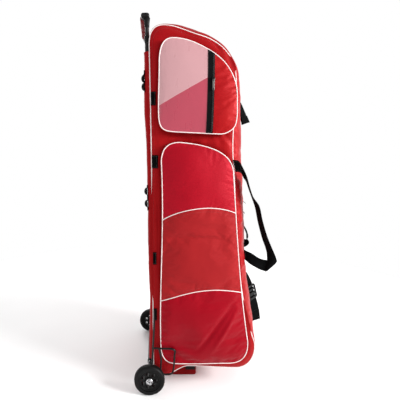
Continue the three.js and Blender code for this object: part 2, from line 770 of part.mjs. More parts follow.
// Front zip and its pulls
function frontZip() {
  const first = Math.round(frontLine.length * ZIP_SPAN.from);
  const last = Math.round(frontLine.length * ZIP_SPAN.to);
  const grid = [];
  for (let row = first; row <= last; row++) {
    const place = frontPoint(row, 0, GAP + ZIP_TAPE);
    grid.push([-ZIP_HALF, ZIP_HALF].map((y) => vec(place.x, y, place.z)));
  }
  add('front_zip', gridShell(grid, ZIP_TAPE, bagMiddle), blackZip);
  for (const [name, z] of Object.entries(FRONT_PULLS)) {
    const clear = frontX(z - PULL.length, 0) + 2 * GAP + ZIP_TAPE;
    const geometry = zipPull().rotateZ(Math.PI / 2).translate(clear, 0, z);
    add(`front_zip_pull_${name}`, geometry, silverMetal);
  }
}
frontZip();

// Webbing ribbons: rows give the middle and the way across; a side of -1 mirrors the ribbon in Y
function ribbon(rows, steps, side = 1) {
  const middle = new THREE.CatmullRomCurve3(rows.map((row) => row.at), false, 'centripetal');
  const sections = [];
  for (let k = 0; k <= steps; k++) {
    const t = k / steps;
    const place = t * (rows.length - 1);
    const i = Math.min(Math.floor(place), rows.length - 2);
    const across = rows[i].across.clone().lerp(rows[i + 1].across, place - i);
    const run = middle.getTangent(t);
    across.addScaledVector(run, -across.dot(run)).setLength(STRAP_WIDTH / 2);
    const thick = run.clone().cross(across).setLength(WEBBING / 2);
    const point = middle.getPoint(t);
    sections.push([[1, 1], [-1, 1], [-1, -1], [1, -1]].map(([w, h]) => (
      point.clone().addScaledVector(across, w).addScaledVector(thick, h).multiply(vec(1, side, 1)))));
  }
  return sectionBar(sections);
}

const offFront = (row, y) => ({
  at: vec(frontX(row.z, y) + row.off, y, row.z),
  across: vec(...row.across),
});

const carryRows = CARRY_STRAP.map(({ at, across }) => ({ at: vec(...at), across: vec(...across) }));
for (const [name, side] of [['near', -1], ['far', 1]]) {
  add(`carry_strap_${name}`, ribbon(carryRows, 28, side), blackWebbing);
}

for (const [name, rows] of [['upper', UPPER_STRAP], ['lower', LOWER_STRAP]]) {
  add(`${name}_strap`, ribbon(rows.map((row) => offFront(row, FRONT_STRAP_Y)), 12), blackWebbing);
}

// A plate with rounded corners, in X and Y, standing on the plane of its back
function roundedPlate(width, length, depth, corner) {
  const [w, l] = [width / 2, length / 2];
  const shape = new THREE.Shape();
  shape.moveTo(-w + corner, -l);
  shape.lineTo(w - corner, -l).quadraticCurveTo(w, -l, w, -l + corner);
  shape.lineTo(w, l - corner).quadraticCurveTo(w, l, w - corner, l);
  shape.lineTo(-w + corner, l).quadraticCurveTo(-w, l, -w, l - corner);
  shape.lineTo(-w, -l + corner).quadraticCurveTo(-w, -l, -w + corner, -l);
  return new THREE.ExtrudeGeometry(shape, { depth, bevelEnabled: false, curveSegments: 3 });
}

// Buckle on the outer face of the lower strap
function lowerBuckle() {
  const rows = LOWER_STRAP.map((row) => offFront(row, FRONT_STRAP_Y));
  const low = rows.findLast((row) => row.at.z > BUCKLE.z - BUCKLE.length / 2);
  const high = rows[rows.indexOf(low) - 1];
  const run = high.at.clone().sub(low.at).normalize();
  const across = low.across.clone();
  across.addScaledVector(run, -across.dot(run)).normalize();
  const out = across.clone().cross(run).normalize();
  const middle = low.at.clone().lerp(high.at, (BUCKLE.z - low.at.z) / (high.at.z - low.at.z));
  middle.addScaledVector(out, WEBBING / 2 + BUCKLE_LIFT);
  const frame = new THREE.Matrix4().makeBasis(across, run, out).setPosition(middle);
  const plate = roundedPlate(BUCKLE.width, BUCKLE.length, BUCKLE.depth, 7).applyMatrix4(frame);
  add('lower_buckle', plate, blackPlastic);
}
lowerBuckle();

// Webbing tabs beside the back seam of both side panels
for (const [name, side, face] of [['near', -1, SIDE_FACE], ['far', 1, SIDE_FACE]]) {
  SIDE_TABS.forEach(({ z, width }, k) => {
    const edge = readAt(backLine, 'x', 'y', z) + SEAM + 1;
    const geometry = new THREE.BoxGeometry(width, WEBBING, TAB_HEIGHT);
    geometry.translate(edge + width / 2, side * (face + TAB_LIFT[name] + WEBBING / 2), z);
    add(`side_tab_${name}_${k + 1}`, geometry, blackWebbing);
  });
}

// Foot with the boss that carries the axle
function foot() {
  const shape = new THREE.Shape();
  const edge = 8;
  shape.moveTo(-FOOT_HALF_X, 0);
  shape.lineTo(FOOT_HALF_X, 0);
  shape.lineTo(FOOT_HALF_X, FOOT_TOP - edge);
  shape.quadraticCurveTo(FOOT_HALF_X, FOOT_TOP, FOOT_HALF_X - edge, FOOT_TOP);
  const rise = Math.asin((FOOT_TOP - AXLE.z) / FOOT_BOSS_R);
  shape.lineTo(AXLE.x + FOOT_BOSS_R * Math.cos(rise), FOOT_TOP);
  shape.absarc(AXLE.x, AXLE.z, FOOT_BOSS_R, rise, Math.PI * 1.2, false);
  shape.lineTo(-FOOT_HALF_X, 0);
  const bore = new THREE.Path();
  bore.absarc(AXLE.x, AXLE.z, AXLE_R + GAP, 0, Math.PI * 2, true);
  shape.holes.push(bore);
  add('base_foot', alongY(shape, -FOOT_HALF_Y, FOOT_HALF_Y, 8), redCloth);
}
foot();

// Trolley: tubes, sleeves, handle and lash loops, leaning together
const trolley = new THREE.Group();
trolley.position.set(TUBE_FOOT_X, 0, FOOT_TOP);
trolley.rotation.y = -TUBE_LEAN;
bag.add(trolley);

// A turned ring or bar about Z, from the radii of its wall
function turned(profile, sides) {
  const points = profile.map(([radius, z]) => new THREE.Vector2(radius, z));
  return new THREE.LatheGeometry(points, sides).rotateX(Math.PI / 2);
}

function pipe(outerR, boreR, { from, to }) {
  return turned([[boreR, from], [outerR, from], [outerR, to], [boreR, to], [boreR, from]], 14);
}

function roundedBar(back, front, bottom, top, corner) {
  const plate = new THREE.Shape();
  plate.moveTo(back + corner, bottom);
  plate.lineTo(front - corner, bottom).quadraticCurveTo(front, bottom, front, bottom + corner);
  plate.lineTo(front, top - corner).quadraticCurveTo(front, top, front - corner, top);
  plate.lineTo(back + corner, top).quadraticCurveTo(back, top, back, top - corner);
  plate.lineTo(back, bottom + corner).quadraticCurveTo(back, bottom, back + corner, bottom);
  return plate;
}

function lashLoop({ low, high }) {
  const flat = -(SLEEVE_R + GAP);
  const { half, rise } = LASH_ARCH;
  const end = 10;
  const heights = [low - half - end];
  for (const middle of [low, high]) {
    for (let k = -2; k <= 2; k++) heights.push(middle + (k / 2) * half);
  }
  heights.push(high + half + end);
  const bulge = (z) => {
    const middle = Math.abs(z - low) < Math.abs(z - high) ? low : high;
    const share = Math.min(1, Math.abs(z - middle) / half);
    return rise * Math.cos((share * Math.PI) / 2);
  };
  const outer = heights.map((z) => new THREE.Vector2(flat - WEBBING - bulge(z), z));
  const inner = heights.map((z) => new THREE.Vector2(flat - bulge(z), z));
  return new THREE.Shape([...outer, ...inner.toReversed()]);
}

for (const [name, side] of [['near', -1], ['far', 1]]) {
  const y = side * TUBE_Y;
  const place = (node, geometry, material) => add(node, geometry, material, trolley).position.set(0, y, 0);
  place(`outer_tube_${name}`, pipe(OUTER_TUBE_R, TUBE_BORE_R, OUTER_TUBE), blackMetal);
  place(`tube_sleeve_${name}`, pipe(SLEEVE_R, SLEEVE_BORE_R, SLEEVE), redCloth);
  const { from, to } = INNER_TUBE;
  const bar = turned([[0, from], [INNER_TUBE_R, from], [INNER_TUBE_R, to], [0, to]], 14);
  place(`inner_tube_${name}`, bar, blackMetal);
  const { back, front, bottom, top, outer } = HANDLE_END;
  const ends = [side * (GRIP.half + GAP), side * outer].sort((a, b) => a - b);
  const fitting = alongY(roundedBar(back, front, bottom, top, 5), ...ends, 3);
  add(`handle_end_${name}`, fitting, blackPlastic, trolley);
}
for (const [height, loop] of Object.entries(LASH_LOOPS)) {
  const strip = alongY(lashLoop(loop), -TUBE_Y - LOOP_WIDTH / 2, -TUBE_Y + LOOP_WIDTH / 2);
  add(`lash_loop_${height}`, strip, blackWebbing, trolley);
}
const gripShape = roundedBar(GRIP.back, GRIP.front, GRIP.bottom, GRIP.top, 8);
add('handle_grip', alongY(gripShape, -GRIP.half, GRIP.half, 4), redGrip, trolley);

// Axle, wheels and side racks
const axleBar = new THREE.CylinderGeometry(AXLE_R, AXLE_R, 2 * AXLE_HALF, 14);
add('axle', axleBar.translate(AXLE.x, 0, AXLE.z), blackMetal);

function tyre() {
  const [r, w] = [WHEEL_R, WHEEL_HALF_WIDTH];
  const wall = [
    [RIM_R, -w + 1], [r - 5.5, -w], [r - 1.5, -w * 0.7], [r, -w * 0.25],
    [r, w * 0.25], [r - 1.5, w * 0.7], [r - 5.5, w], [RIM_R, w - 1], [RIM_R, -w + 1],
  ];
  return new THREE.LatheGeometry(wall.map((place) => new THREE.Vector2(...place)), WHEEL_SIDES);
}

// Corners of a regular polygon
function polygon(x, y, radius, sides) {
  return Array.from({ length: sides }, (_, k) => {
    const angle = (k / sides) * Math.PI * 2;
    return new THREE.Vector2(x + radius * Math.cos(angle), y + radius * Math.sin(angle));
  });
}

function wheelHub(side) {
  const disc = new THREE.Shape(polygon(0, 0, RIM_R - GAP, WHEEL_SIDES));
  for (let k = 0; k < HUB_HOLES; k++) {
    const angle = (k / HUB_HOLES) * Math.PI * 2;
    const [x, y] = [HUB.holeRing * Math.cos(angle), HUB.holeRing * Math.sin(angle)];
    disc.holes.push(new THREE.Path(polygon(x, y, HUB.holeR, 8)));
  }
  disc.holes.push(new THREE.Path(polygon(0, 0, HUB.bossR - 1, 12)));
  const web = alongY(disc, -HUB.halfWidth, HUB.halfWidth);
  const inner = side > 0 ? -HUB.boss : HUB.boss - HUB.bossLength;
  const boss = pipe(HUB.bossR, AXLE_R + GAP, { from: inner, to: inner + HUB.bossLength });
  return union(web, boss.rotateX(-Math.PI / 2));
}

function hubCap(side) {
  const { from, to, r } = HUB_CAP;
  const profile = [[0, from], [r, from], [r, to - 3], [r * 0.6, to], [0, to]];
  const cap = new THREE.LatheGeometry(profile.map((place) => new THREE.Vector2(...place)), 16);
  return side > 0 ? cap : cap.rotateZ(Math.PI);
}

// A rack of one welded wire and leg, in the plane beside the wheel, drawn for the far side
function sideRack(name, side) {
  const eye = pipe(RACK_EYE.r, AXLE_R + GAP, { from: -RACK_EYE.half, to: RACK_EYE.half });
  eye.rotateX(-Math.PI / 2).translate(AXLE.x, side * RACK_Y, AXLE.z);
  const tabFace = SIDE_FACE + TAB_LIFT[name] + WEBBING;
  const legPoints = [...RACK_LEG, { ...RACK_LEG_TOP, y: tabFace + GAP + LEG_R }];
  const leg = rod(legPoints.map(({ x, y, z }) => vec(x, side * y, z)), LEG_R, 6, 7);
  const wire = rod(RACK_WIRE.map(({ x, z }) => vec(x, side * RACK_Y, z)), WIRE_R, 5, 28);
  return union(eye, leg, wire);
}

for (const [name, side] of [['near', -1], ['far', 1]]) {
  const wheel = new THREE.Group();
  wheel.position.set(AXLE.x, side * WHEEL_Y, AXLE.z);
  bag.add(wheel);
  add(`tyre_${name}`, tyre(), blackRubber, wheel);
  add(`wheel_hub_${name}`, wheelHub(side), blackPlastic, wheel);
  add(`hub_cap_${name}`, hubCap(side), silverMetal, wheel);
  add(`side_rack_${name}`, sideRack(name, side), blackMetal);
}

export default bag;
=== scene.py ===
"""Looks of a wheeled fencing bag that stands upright: cloth, piping, webbing, zips, trolley and wheels.

Tables and points are in millimetres, and become metres where a mesh is made.
+X is the front of the bag, -Y the near side with the pockets, +Y the far side, +Z up.
"""

import math

import bmesh
import bpy
import numpy as np
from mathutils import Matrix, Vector, noise


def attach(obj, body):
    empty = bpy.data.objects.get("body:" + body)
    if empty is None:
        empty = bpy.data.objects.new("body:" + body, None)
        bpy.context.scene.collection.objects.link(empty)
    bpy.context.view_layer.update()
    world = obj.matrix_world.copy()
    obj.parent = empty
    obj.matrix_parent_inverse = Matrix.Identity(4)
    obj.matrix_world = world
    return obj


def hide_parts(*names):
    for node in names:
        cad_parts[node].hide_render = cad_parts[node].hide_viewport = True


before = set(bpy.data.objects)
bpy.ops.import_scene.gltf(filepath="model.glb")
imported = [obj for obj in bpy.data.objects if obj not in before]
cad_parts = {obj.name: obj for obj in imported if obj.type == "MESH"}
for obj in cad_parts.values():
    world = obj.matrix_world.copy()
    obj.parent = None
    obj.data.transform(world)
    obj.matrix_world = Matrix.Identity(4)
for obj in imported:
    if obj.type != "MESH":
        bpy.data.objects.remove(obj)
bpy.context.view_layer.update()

MM = 0.001
SIDES = (("near", -1), ("far", 1))
GAP = 0.3
DISTANCE_BATCH = 4000

# Bag body
CLOTH = 2.0
FACE_CLOTH = 1.6
SEAM_TUCK = 1.74
PIPING_R = 1.6
SIDE_FACE = 172.4
PIPING_Y = 171
PIPING_STEPS = 560
BAND_HALF = 168
BAND_COLUMNS = 61
BACK_ROWS = 190
BACK_SWELL = 3.0
BOTTOM_ROWS = 70
FLAT_HALF = 114
FRONT_SLIT = 5
FRONT_COLUMNS = 27
FRONT_ZIP_HALF = 13
SIDE_COLUMNS = 380
SIDE_RINGS = 41
BAG_MIDDLE = (40, 0, 640)
FAR_SPINE = (40, 230, 1020)
FAR_BULGE = ((0.0, 15.0), (0.15, 14.0), (0.45, 9.5), (0.76, 2.6), (0.92, 0.7), (1.0, 0.0))
FAR_SEAM_REACH = 24
NEAR_DOME = 8
DOME_REACH = 12
SEAM_REACH = 9
CALM_AT_RACK = (0.85, (310, 420), (-40, 60))
RACK_CORNER = (-50, 330)
CARRY_ROOT = (182, 780, 26)

# How each cloth settles: its slack, the pressure behind it, and the most that a point moves
SETTLE_FRAMES = 18
AIR_DAMPING = 4.0
SETTLING = {
    "front": (0.012, 0.2, 3),
    "back": (0.012, 0.4, 6),
    "near panel": (0.035, 0.8, 6),
    "far panel": (0.02, 0.8, 9),
    "lower bottom": (0.012, 1.0, 9),
    "lower middle": (0.012, 0.8, 8),
    "lower top": (0.003, 1.6, 10),
    "window": (0.0, 0.5, 5),
    "strip": (0.012, 0.5, 5),
}

# Wrinkles of each cloth: height, the size of their features along X, Y and Z, and a seed
WRINKLES = {
    "near panel": ((1.5, (34, 1, 60), 1), (0.7, (15, 1, 24), 2)),
    "far panel": ((2.0, (70, 1, 55), 5), (0.8, (26, 1, 22), 6)),
    "front": ((1.5, (60, 46, 60), 11), (0.7, (22, 60, 22), 14)),
    "front seam": ((0.8, (13, 40, 13), 17),),
    "back": ((1.6, (60, 50, 70), 21),),
    "side piping": ((0.5, (90, 1, 90), 31),),
    "pocket wall": ((0.9, (16, 1, 16), 41),),
    "pocket piping": ((0.4, (70, 1, 70), 45),),
    "face seam": ((1.0, (13, 1, 13), 0),),
    "face": ((2.2, (90, 1, 80), 1), (0.8, (30, 1, 34), 2)),
    "casing": ((0.9, (40, 26, 46), 71), (0.4, (20, 20, 15), 74)),
}

# Trolley, measured along its tubes from the top of the foot
LEAN = math.radians(1.28)
TUBE_FOOT_X = -77.5
FOOT_TOP = 58
TUBE_Y = 95
SLEEVE_R = 11.4
TUBE_CLEAR = 12
CASING_FLARE = 9
CASING_BILLOWS = ((400, 130, 3.6), (920, 90, 4.2))
CASING_Z = (5.5, 1097)
CASING_ROWS = 222
CASING_SEAM = 22
CASING_SECTION = (
    (36, 11.6), (30, 11.3), (24, 10.9), (19, 9.6), (15, 6.6), (12.6, 2.2), (11.6, -2.4),
    (9.4, -7.0), (5.4, -10.4), (0, -11.8),
)

# Foot, and the handle's grip
FOOT_BOX = (152, 220, 57.6)
FOOT_CLEAR = 0.6
FOOT_SWELL = (1.5, 2.0)
GRIP_AT = (-8.5, 1211.5)
GRIP_SIZE = (14.5, 81, 9.3)
GRIP_SQUARED = 0.62
GRIP_RIBS = (0.35, 4.2, 60)
GRIP_FINGERS = 4

# Wheels
WHEEL_Y = 203.6
AXLE = (-96, 52.5)
WASHERS_Y = (-181.5, -113, 113, 181.5)
HUB_HOLES = 7
HUB_HOLE_R = 6.5
HUB_HOLE_REACH = 23
CAP_MARKS = (2.2, 4.3, 6.4)
CAP_MARK_AT = (8, 16.2)

# Turned profiles: radius, and height along the axis
TUBE_WALL = ((6.9, 1147), (8.5, 1147), (8.5, 0.6), (6.9, 0.6))
TUBE_COLLAR = ((7.2, 1149), (9.6, 1149), (9.9, 1136), (9.2, 1128), (8.4, 1128), (7.2, 1149))
TUBE_SOCKET = ((8.4, 1), (11.2, 1), (11.2, 22), (9.6, 34), (8.4, 34), (8.4, 1))
INNER_TUBE = (
    (0.05, 760), (6.5, 760), (6.5, 1150), (6.2, 1151), (6.2, 1153), (6.5, 1154), (6.5, 1203), (0.05, 1203),
)
HANDLE_COLLAR = ((6.6, 1176), (7.9, 1176), (9.0, 1190), (11.4, 1206), (6.6, 1206))
SCREW_HEAD = ((0.1, 0.0), (3.4, 0.0), (3.4, 1.2), (2.2, 1.7), (0.1, 1.7))
AXLE_BAR = ((0.05, -213), (4, -213), (4, 213), (0.05, 213))
AXLE_HOUSING = ((4.3, -110), (9, -110), (9, -96), (7.6, -90), (7.6, 90), (9, 96), (9, 110), (4.3, 110))
WASHER = ((4.1, -0.9), (8, -0.9), (8, 0.9), (4.1, 0.9))
RACK_EYE = ((4.3, -2.7), (9, -2.7), (9, 2.7), (4.3, 2.7), (4.3, -2.7))
HALF_TYRE = (
    (37.8, 11), (41.5, 11.2), (44, 12), (47.2, 12), (49.6, 10.6), (51.2, 8.4), (52.0, 6.4),
    (52.2, 5.6), (50.9, 5.1), (50.9, 4.3), (52.3, 3.8), (52.5, 2.4), (52.5, 0.9), (51.4, 0.5),
)
HUB_RIM = ((33.4, -7), (37.7, -8.2), (37.7, 8.2), (33.4, 7), (33.4, -7))
HUB_BOSS = (
    (4.3, -13), (9.6, -13), (11, -7), (13.4, -5), (13.4, 5), (12.6, 7.4), (11, 9.4), (4.3, 9.4), (4.3, -13),
)
HUB_COLLAR = ((6.2, -10.6), (7.7, -10.6), (7.7, 7), (6.2, 7), (6.2, -10.6))
CAP_DOME = (
    (0.1, 12.6), (2.6, 12.6), (3.0, 15.8), (5.6, 16.9), (9.0, 15.9), (11.4, 13.6), (12.4, 12.2),
    (12.5, 10.2), (0.1, 10.2),
)
CAP_DOT = ((0.1, 12.8), (2.7, 12.8), (2.7, 13.2), (0.1, 13.2))

# Side panel outline: the handles of each curve and where it ends
OUTLINE_START = (-50, 47)
OUTLINE = {
    "heel": ((-80, 47, -80, 60), (-82, 108)),
    "back": ((-86, 500, -86, 800), (-95, 1150)),
    "top corner": ((-96, 1190, -82, 1211), (-50, 1211)),
    "top slope": ((-15, 1211, 25, 1191), (60, 1181.5)),
    "shoulder": ((118, 1167, 177, 1125), (178, 1045)),
    "waist": ((180, 960, 164, 850), (181, 760)),
    "front": ((191, 560, 205, 335), (266, 175)),
    "toe corner": ((278, 137, 262, 75), (205, 75)),
    "bottom": ((150, 76, 90, 82), (40, 82)),
    "dip": ((10, 82, -15, 47), (-50, 47)),
}

# How far the front stands out of its seams in the middle, by its share of length
CROWN = (
    (0.0, 3), (0.05, 17), (0.12, 37), (0.17, 30), (0.22, 25), (0.27, 30), (0.32, 39), (0.42, 55),
    (0.5, 53), (0.6, 54), (0.7, 49), (0.78, 46), (0.85, 38), (0.91, 16), (0.96, 6), (1.0, 2),
)

# Rims, walls and faces of the pockets
POCKET_RIM = 26
POCKET_PUFF = 13
PUFF_REACH = 38
RACK_DENT = (-45, 118, 85, 0.78)
RIM_LEAN = {"upper": 5.5, "lower": 0.0}
LEAN_FROM = (60, 140)
LEAN_FACING = (-0.9, -0.2)
FACE_SLACK = {"upper": 0.3, "lower": 0.6}
FACE_INSET = 0.8
BEHIND_FACE = 60
PUFF_ROUNDS = 120
PUCKER_REACH = (3, 14)
FACE_REACH = 26
FACE_SEEDS = {"bottom": 51, "middle": 55, "top": 59, "upper": 63}
WALL_STEPS = (420, 10)
WALL_FLARE = (2.4, 1.4)

# Pocket outlines, walked left side, top, right side, bottom
UPPER_START = (-66, 950)
UPPER_POCKET = {
    "left": ((-66.5, 1000, -64, 1050), (-64, 1095)),
    "top corner": ((-63, 1140, -52, 1163), (-22, 1163)),
    "top": ((60, 1162, 166, 1090), (170, 1000)),
    "right": ((171, 980, 172, 960), (172, 940)),
    "bottom corner": ((172, 900, 160, 878), (125, 878)),
    "bottom": ((80, 880, 40, 882), (0, 884)),
    "heel": ((-54, 886, -66, 889), (-66, 950)),
}
LOWER_START = (-57, 170)
LOWER_POCKET = {
    "left": ((-64, 400, -45, 560), (-57, 790)),
    "top corner": ((-57, 830, -40, 852), (0, 852)),
    "top": ((70, 846, 164, 830), (171, 760)),
    "right": ((186, 600, 199, 400), (236, 190)),
    "bottom corner": ((241, 135, 220, 109), (170, 109)),
    "bottom": ((110, 108, 60, 99), (0, 96)),
    "heel": ((-38, 94, -57, 112), (-57, 170)),
}

# Arcs across the lower pocket, the upper pocket's zip, and the edge between the window's tones
ARC_R = 1.4
ARCS = {"lower": (332, (10, 356, 90, 394), 362), "upper": (606, (10, 648, 110, 660), 628)}
POCKET_ZIP = (92, 94, 10.5)
POCKET_PULL_Z = 1040
COIL_COLUMN = 8
TONE_LINE = ((-61, 966), (84, 1046))
ZIP_LAP = 3

# The near panel puffs out over its seam: at the back or front, and between which heights
SEAM_ROLLS = (
    (-1, (305, 360), (640, 780)),
    (1, (190, 230), (300, 345)),
    (1, (1066, 1084), (1108, 1124)),
)
ROLL_OUT = 4.4
ROLL_LIFT = 3.6

# Folds that the cloth shows: start, end, half width and depth, negative for a ridge
PANEL_FOLDS = (
    ((-84, 1150), (-84, 1005), 4.5, 3.2),
    ((-78, 960), (-72, 820), 6, 2.2),
    ((-70, 760), (-66, 420), 4.5, 2.0),
    ((118, 884), (168, 838), 7, -3.4),
    ((138, 884), (176, 848), 5, 3.2),
    ((-56, 880), (108, 857), 5, 4.2),
    ((-20, 866), (126, 850), 5, -2.8),
    ((-30, 1202), (62, 1166), 6, 2.4),
    ((10, 1204), (96, 1160), 5, -1.8),
    ((70, 1186), (150, 1118), 6, 2.2),
    ((96, 1178), (128, 1128), 5, 2.6),
    ((116, 1166), (150, 1108), 5, -2.4),
    ((142, 1138), (164, 1080), 5, 2.2),
)
FACE_FOLDS = (
    ((186, 338), (58, 138), 9, 6.0),
    ((204, 322), (104, 136), 9, -4.6),
    ((224, 300), (176, 150), 10, 1.8),
    ((-30, 300), (40, 150), 26, 2.4),
    ((34, 890), (34, 550), 58, -9.5),
    ((128, 600), (150, 420), 20, 2.6),
    ((20, 610), (30, 400), 30, -1.6),
)
FAR_FOLDS = (
    ((-60, 420), (110, 330), 16, 4.0),
    ((-40, 360), (150, 262), 18, -3.0),
    ((150, 560), (60, 430), 18, 3.4),
    ((-70, 860), (60, 780), 16, 3.6),
    ((-60, 800), (80, 716), 16, -2.6),
    ((120, 980), (20, 860), 20, 3.0),
    ((-60, 1120), (70, 1060), 15, 2.6),
    ((220, 220), (90, 150), 18, 3.2),
)

# Stitches, by pitch and length, and the parts of zips
STITCH = (4.6, 3.2)
SMALL_STITCH = (3.4, 2.4)
TOOTH_PITCH = 2.6
TOOTH = (4.6, 1.7, 1.5)
TOOTH_LIFT = 0.9
TOOTH_SHIFT = 1.1
SLIDER = (10, 12, 4.4)
BAIL_R = 0.8
BAIL_SPAN = 4.2
BAIL_RISE = 2.6
PULL_LIFT = 5.0
PULL_TAB = (6.4, 33)
PULL_EYE = (2.8, 4.4)
PULL_TIP = (4.6, 6, 2.6)
PULL_DROPS = (16.2, 28.5)

# Webbing
STRAP_WIDTH = 38
WEBBING = 2.2
TAB_HEIGHT = 42
TAB_LIFT = {"near": 0.3, "far": 0.9}
TAB_INSET = 1.5
TAB_LAP = 2.4
TAB_SEAT = 2.3
TAB_MARGIN = (9, 26)
SIDE_TABS = ((272, 9), (471, 9), (792, 17), (990, 13))
LASH_LOOPS = {"upper": (989, 1016), "lower": (587, 631)}
LASH_HALF = 12
LASH_RISE = 5.0
LASH_TWIST = 0.5
LASH_WIDTH = 24
LASH_SEAT = 1.5

# Carry strap, written for the far side: pairs of points on its two edges, down from its root to the fold
CARRY_FALL = (
    ((174, 176, 798), (183, 176, 760)), ((191, 182, 795), (199, 178, 757)),
    ((205, 186, 772), (213, 168, 739)), ((217, 189, 744), (225, 155, 728)),
    ((228, 186, 711), (237, 149, 701)), ((242, 181, 678), (251, 144, 669)),
    ((266, 173, 647), (264, 137, 638)), ((280, 168, 600), (277, 132, 588)),
    ((300, 161, 545), (295, 126, 532)), ((323, 153, 497), (315, 121, 480)),
    ((339, 142, 470), (318, 122, 444)), ((350, 133, 447), (311, 133, 409)),
)
# The same edges back from the fold to the front cloth
CARRY_RETURN = (
    ((350, 128, 447), (311, 128, 409)), ((323, 122, 447), (294, 125, 414)),
    ((295, 117, 452), (271, 129, 427)), ((267, 110, 469), (258, 121, 434)),
    ((243.6, 99, 479), (246.6, 104, 443)), ((246.6, 80, 482), (250.6, 81, 445)),
)
# The far strap hangs in a rounder loop: its middle, and the way that its width points
FAR_CARRY = (
    ((158, 177.5, 793), (0.25, 0, 0.97)), ((182, 177, 784), (0.25, 0, 0.97)),
    ((194, 181.5, 777), (0.4, 0, 0.9)), ((209, 181, 760), (0.45, 0.55, 0.65)),
    ((220, 172, 728), (-0.1, 0.95, 0.3)), ((235, 166, 695), (-0.3, 0.94, 0)),
    ((248, 160, 668), (-0.2, 0.96, 0)), ((262, 154, 631), (0.1, 0.98, 0.05)),
    ((286, 147, 570), (0.12, 0.98, 0.08)), ((306, 140, 520), (0.2, 0.95, 0.1)),
    ((321, 135, 485), (0.3, 0.9, 0.2)), ((320, 131, 458), (0.4, 0.6, 0.7)),
    ((301, 127, 445), (0.1, 0.4, 0.9)), ((272, 116, 450), (0.05, 0.3, 0.95)),
    ((246, 101, 461), (-0.05, 0.1, 1)), ((248.6, 81, 464), (-0.11, 0, 1)),
)
FOLD_R = 3.6

# Loose straps on the front: height, distance off the cloth, and the way that the width points
FRONT_STRAP_Y = -34
FRONT_STRAPS = {
    "upper": (
        (1052, 2.2, (0, 1, 0)), (1030, 6, (0.1, 1, 0)), (1000, 15, (0.4, 0.9, 0.1)),
        (965, 24, (0.7, 0.7, 0.2)), (930, 33, (0.8, 0.5, 0.3)),
    ),
    "lower": (
        (398, 2.2, (0, 1, 0)), (382, 4.4, (0.12, 1, 0)), (354, 10.5, (0.5, 0.85, 0.1)),
        (322, 16, (0.75, 0.62, 0.15)), (290, 20, (0.8, 0.55, 0.18)), (235, 28, (0.86, 0.45, 0.2)),
        (180, 35, (0.92, 0.33, 0.22)),
    ),
}
BUCKLE_Z = 292
BUCKLE = (48, 56)
BUCKLE_LIFT = 4.6
BUCKLE_SLOTS = (17, 3, -16)
BUCKLE_BAR = (40, 5.5, 3.6)
FRONT_PULLS = {"upper": (655, 42), "lower": (618, 32)}

# Where straps are sewn to the front cloth: Y, height, half width and half height
FRONT_SEWN = (
    (-90, 464, 26, 30), (90, 464, 26, 30), (FRONT_STRAP_Y, 1050, 24, 16), (FRONT_STRAP_Y, 394, 24, 16),
)

# Side racks: the leg from its eye up, and the wire from the leg round
RACK_Y = 187
LEG_R = 3.3
WIRE_R = 3.1
RACK_LEG = ((-95, 187, 58.5), (-88, 187, 95), (-84, 187, 157), (-80.5, 186, 235))
RACK_WIRE = (
    (-84, 157), (-50, 155), (-18, 153), (-9, 147), (-10, 130), (-14, 75), (-20, 63),
    (-48, 61), (-56, 68), (-56, 118), (-63, 154),
)
RACK_WELDS = ((-84, 157, 4.6), (-63, 154, 4.0), (-92, 66, 4.4))

# Tones of the window, and black for moulded and coated pieces
ROSE = (0.33, 0.026, 0.053)
ROSE_EDGE = (0.27, 0.020, 0.040)
PINK_EDGE = (0.52, 0.29, 0.30)
PINK = (0.44, 0.225, 0.24)
INK = ((0.002, 0.002, 0.002), (0.005, 0.005, 0.005))

# Camera and lights
CAMERA_AT = (-0.0751, -1.1836, 0.7881)
CAMERA_PITCH = 6.806
CAMERA_LENS = 27.9
CAMERA_SHIFT = 0.111
LIGHTS = (
    ("key", (2.4, -1.15, 1.4), (0.05, -0.1, 0.6), 1.0, 118),
    ("fill", (-1.7, -1.7, 1.0), (0.0, 0.0, 0.6), 1.4, 5),
    ("back", (-0.9, 2.4, 1.8), (0.0, 0.0, 0.6), 1.6, 40),
)
FLOOR_REACH = 1.8
SKY = ((0.5, 1.0), (0.9, 0.15), (0.62, 0.2))


# Lines in the plane of the side panels
def cubic(start, handles, end, count):
    """Points on a curve with two handles."""
    t = np.linspace(0.0, 1.0, count + 1)[:, None]
    s = 1.0 - t
    first, second = np.array(handles[:2]), np.array(handles[2:])
    return s**3 * np.array(start) + 3 * s**2 * t * first + 3 * s * t**2 * second + t**3 * np.array(end)


def length_of(line):
    return np.linalg.norm(np.diff(line, axis=0), axis=1).sum()


def steps_along(line):
    """Length of a line up to each of its points."""
    return np.concatenate([[0], np.cumsum(np.linalg.norm(np.diff(line, axis=0), axis=1))])


def unit(vectors):
    return vectors / np.linalg.norm(vectors, axis=-1, keepdims=True)


def xyz(x, y, z):
    """Points from their coordinates, spread to one shape."""
    return np.stack(np.broadcast_arrays(x, y, z), -1)


def full_turn(count):
    """Angles evenly round a circle."""
    return np.linspace(0, 2 * np.pi, count, endpoint=False)


def walk(start, rows, spacing):
    """Points along a chain of curves, and the index at which each curve ends."""
    points = [np.array([start], float)]
    ends = {}
    total = 0
    for name, (handles, end) in rows.items():
        here = points[-1][-1]
        count = max(4, round(length_of(cubic(here, handles, end, 40)) / spacing))
        points.append(cubic(here, handles, end, count)[1:])
        total += count
        ends[name] = total
    return np.vstack(points), ends


def respace(line, count):
    """Evenly spaced points on an open line."""
    steps = steps_along(line)
    want = np.linspace(0, steps[-1], count + 1)
    return np.stack([np.interp(want, steps, line[:, k]) for k in range(line.shape[1])], 1)


def respace_loop(loop, count):
    """Evenly spaced points on a closed line."""
    return respace(np.vstack([loop, loop[:1]]), count)[:-1]


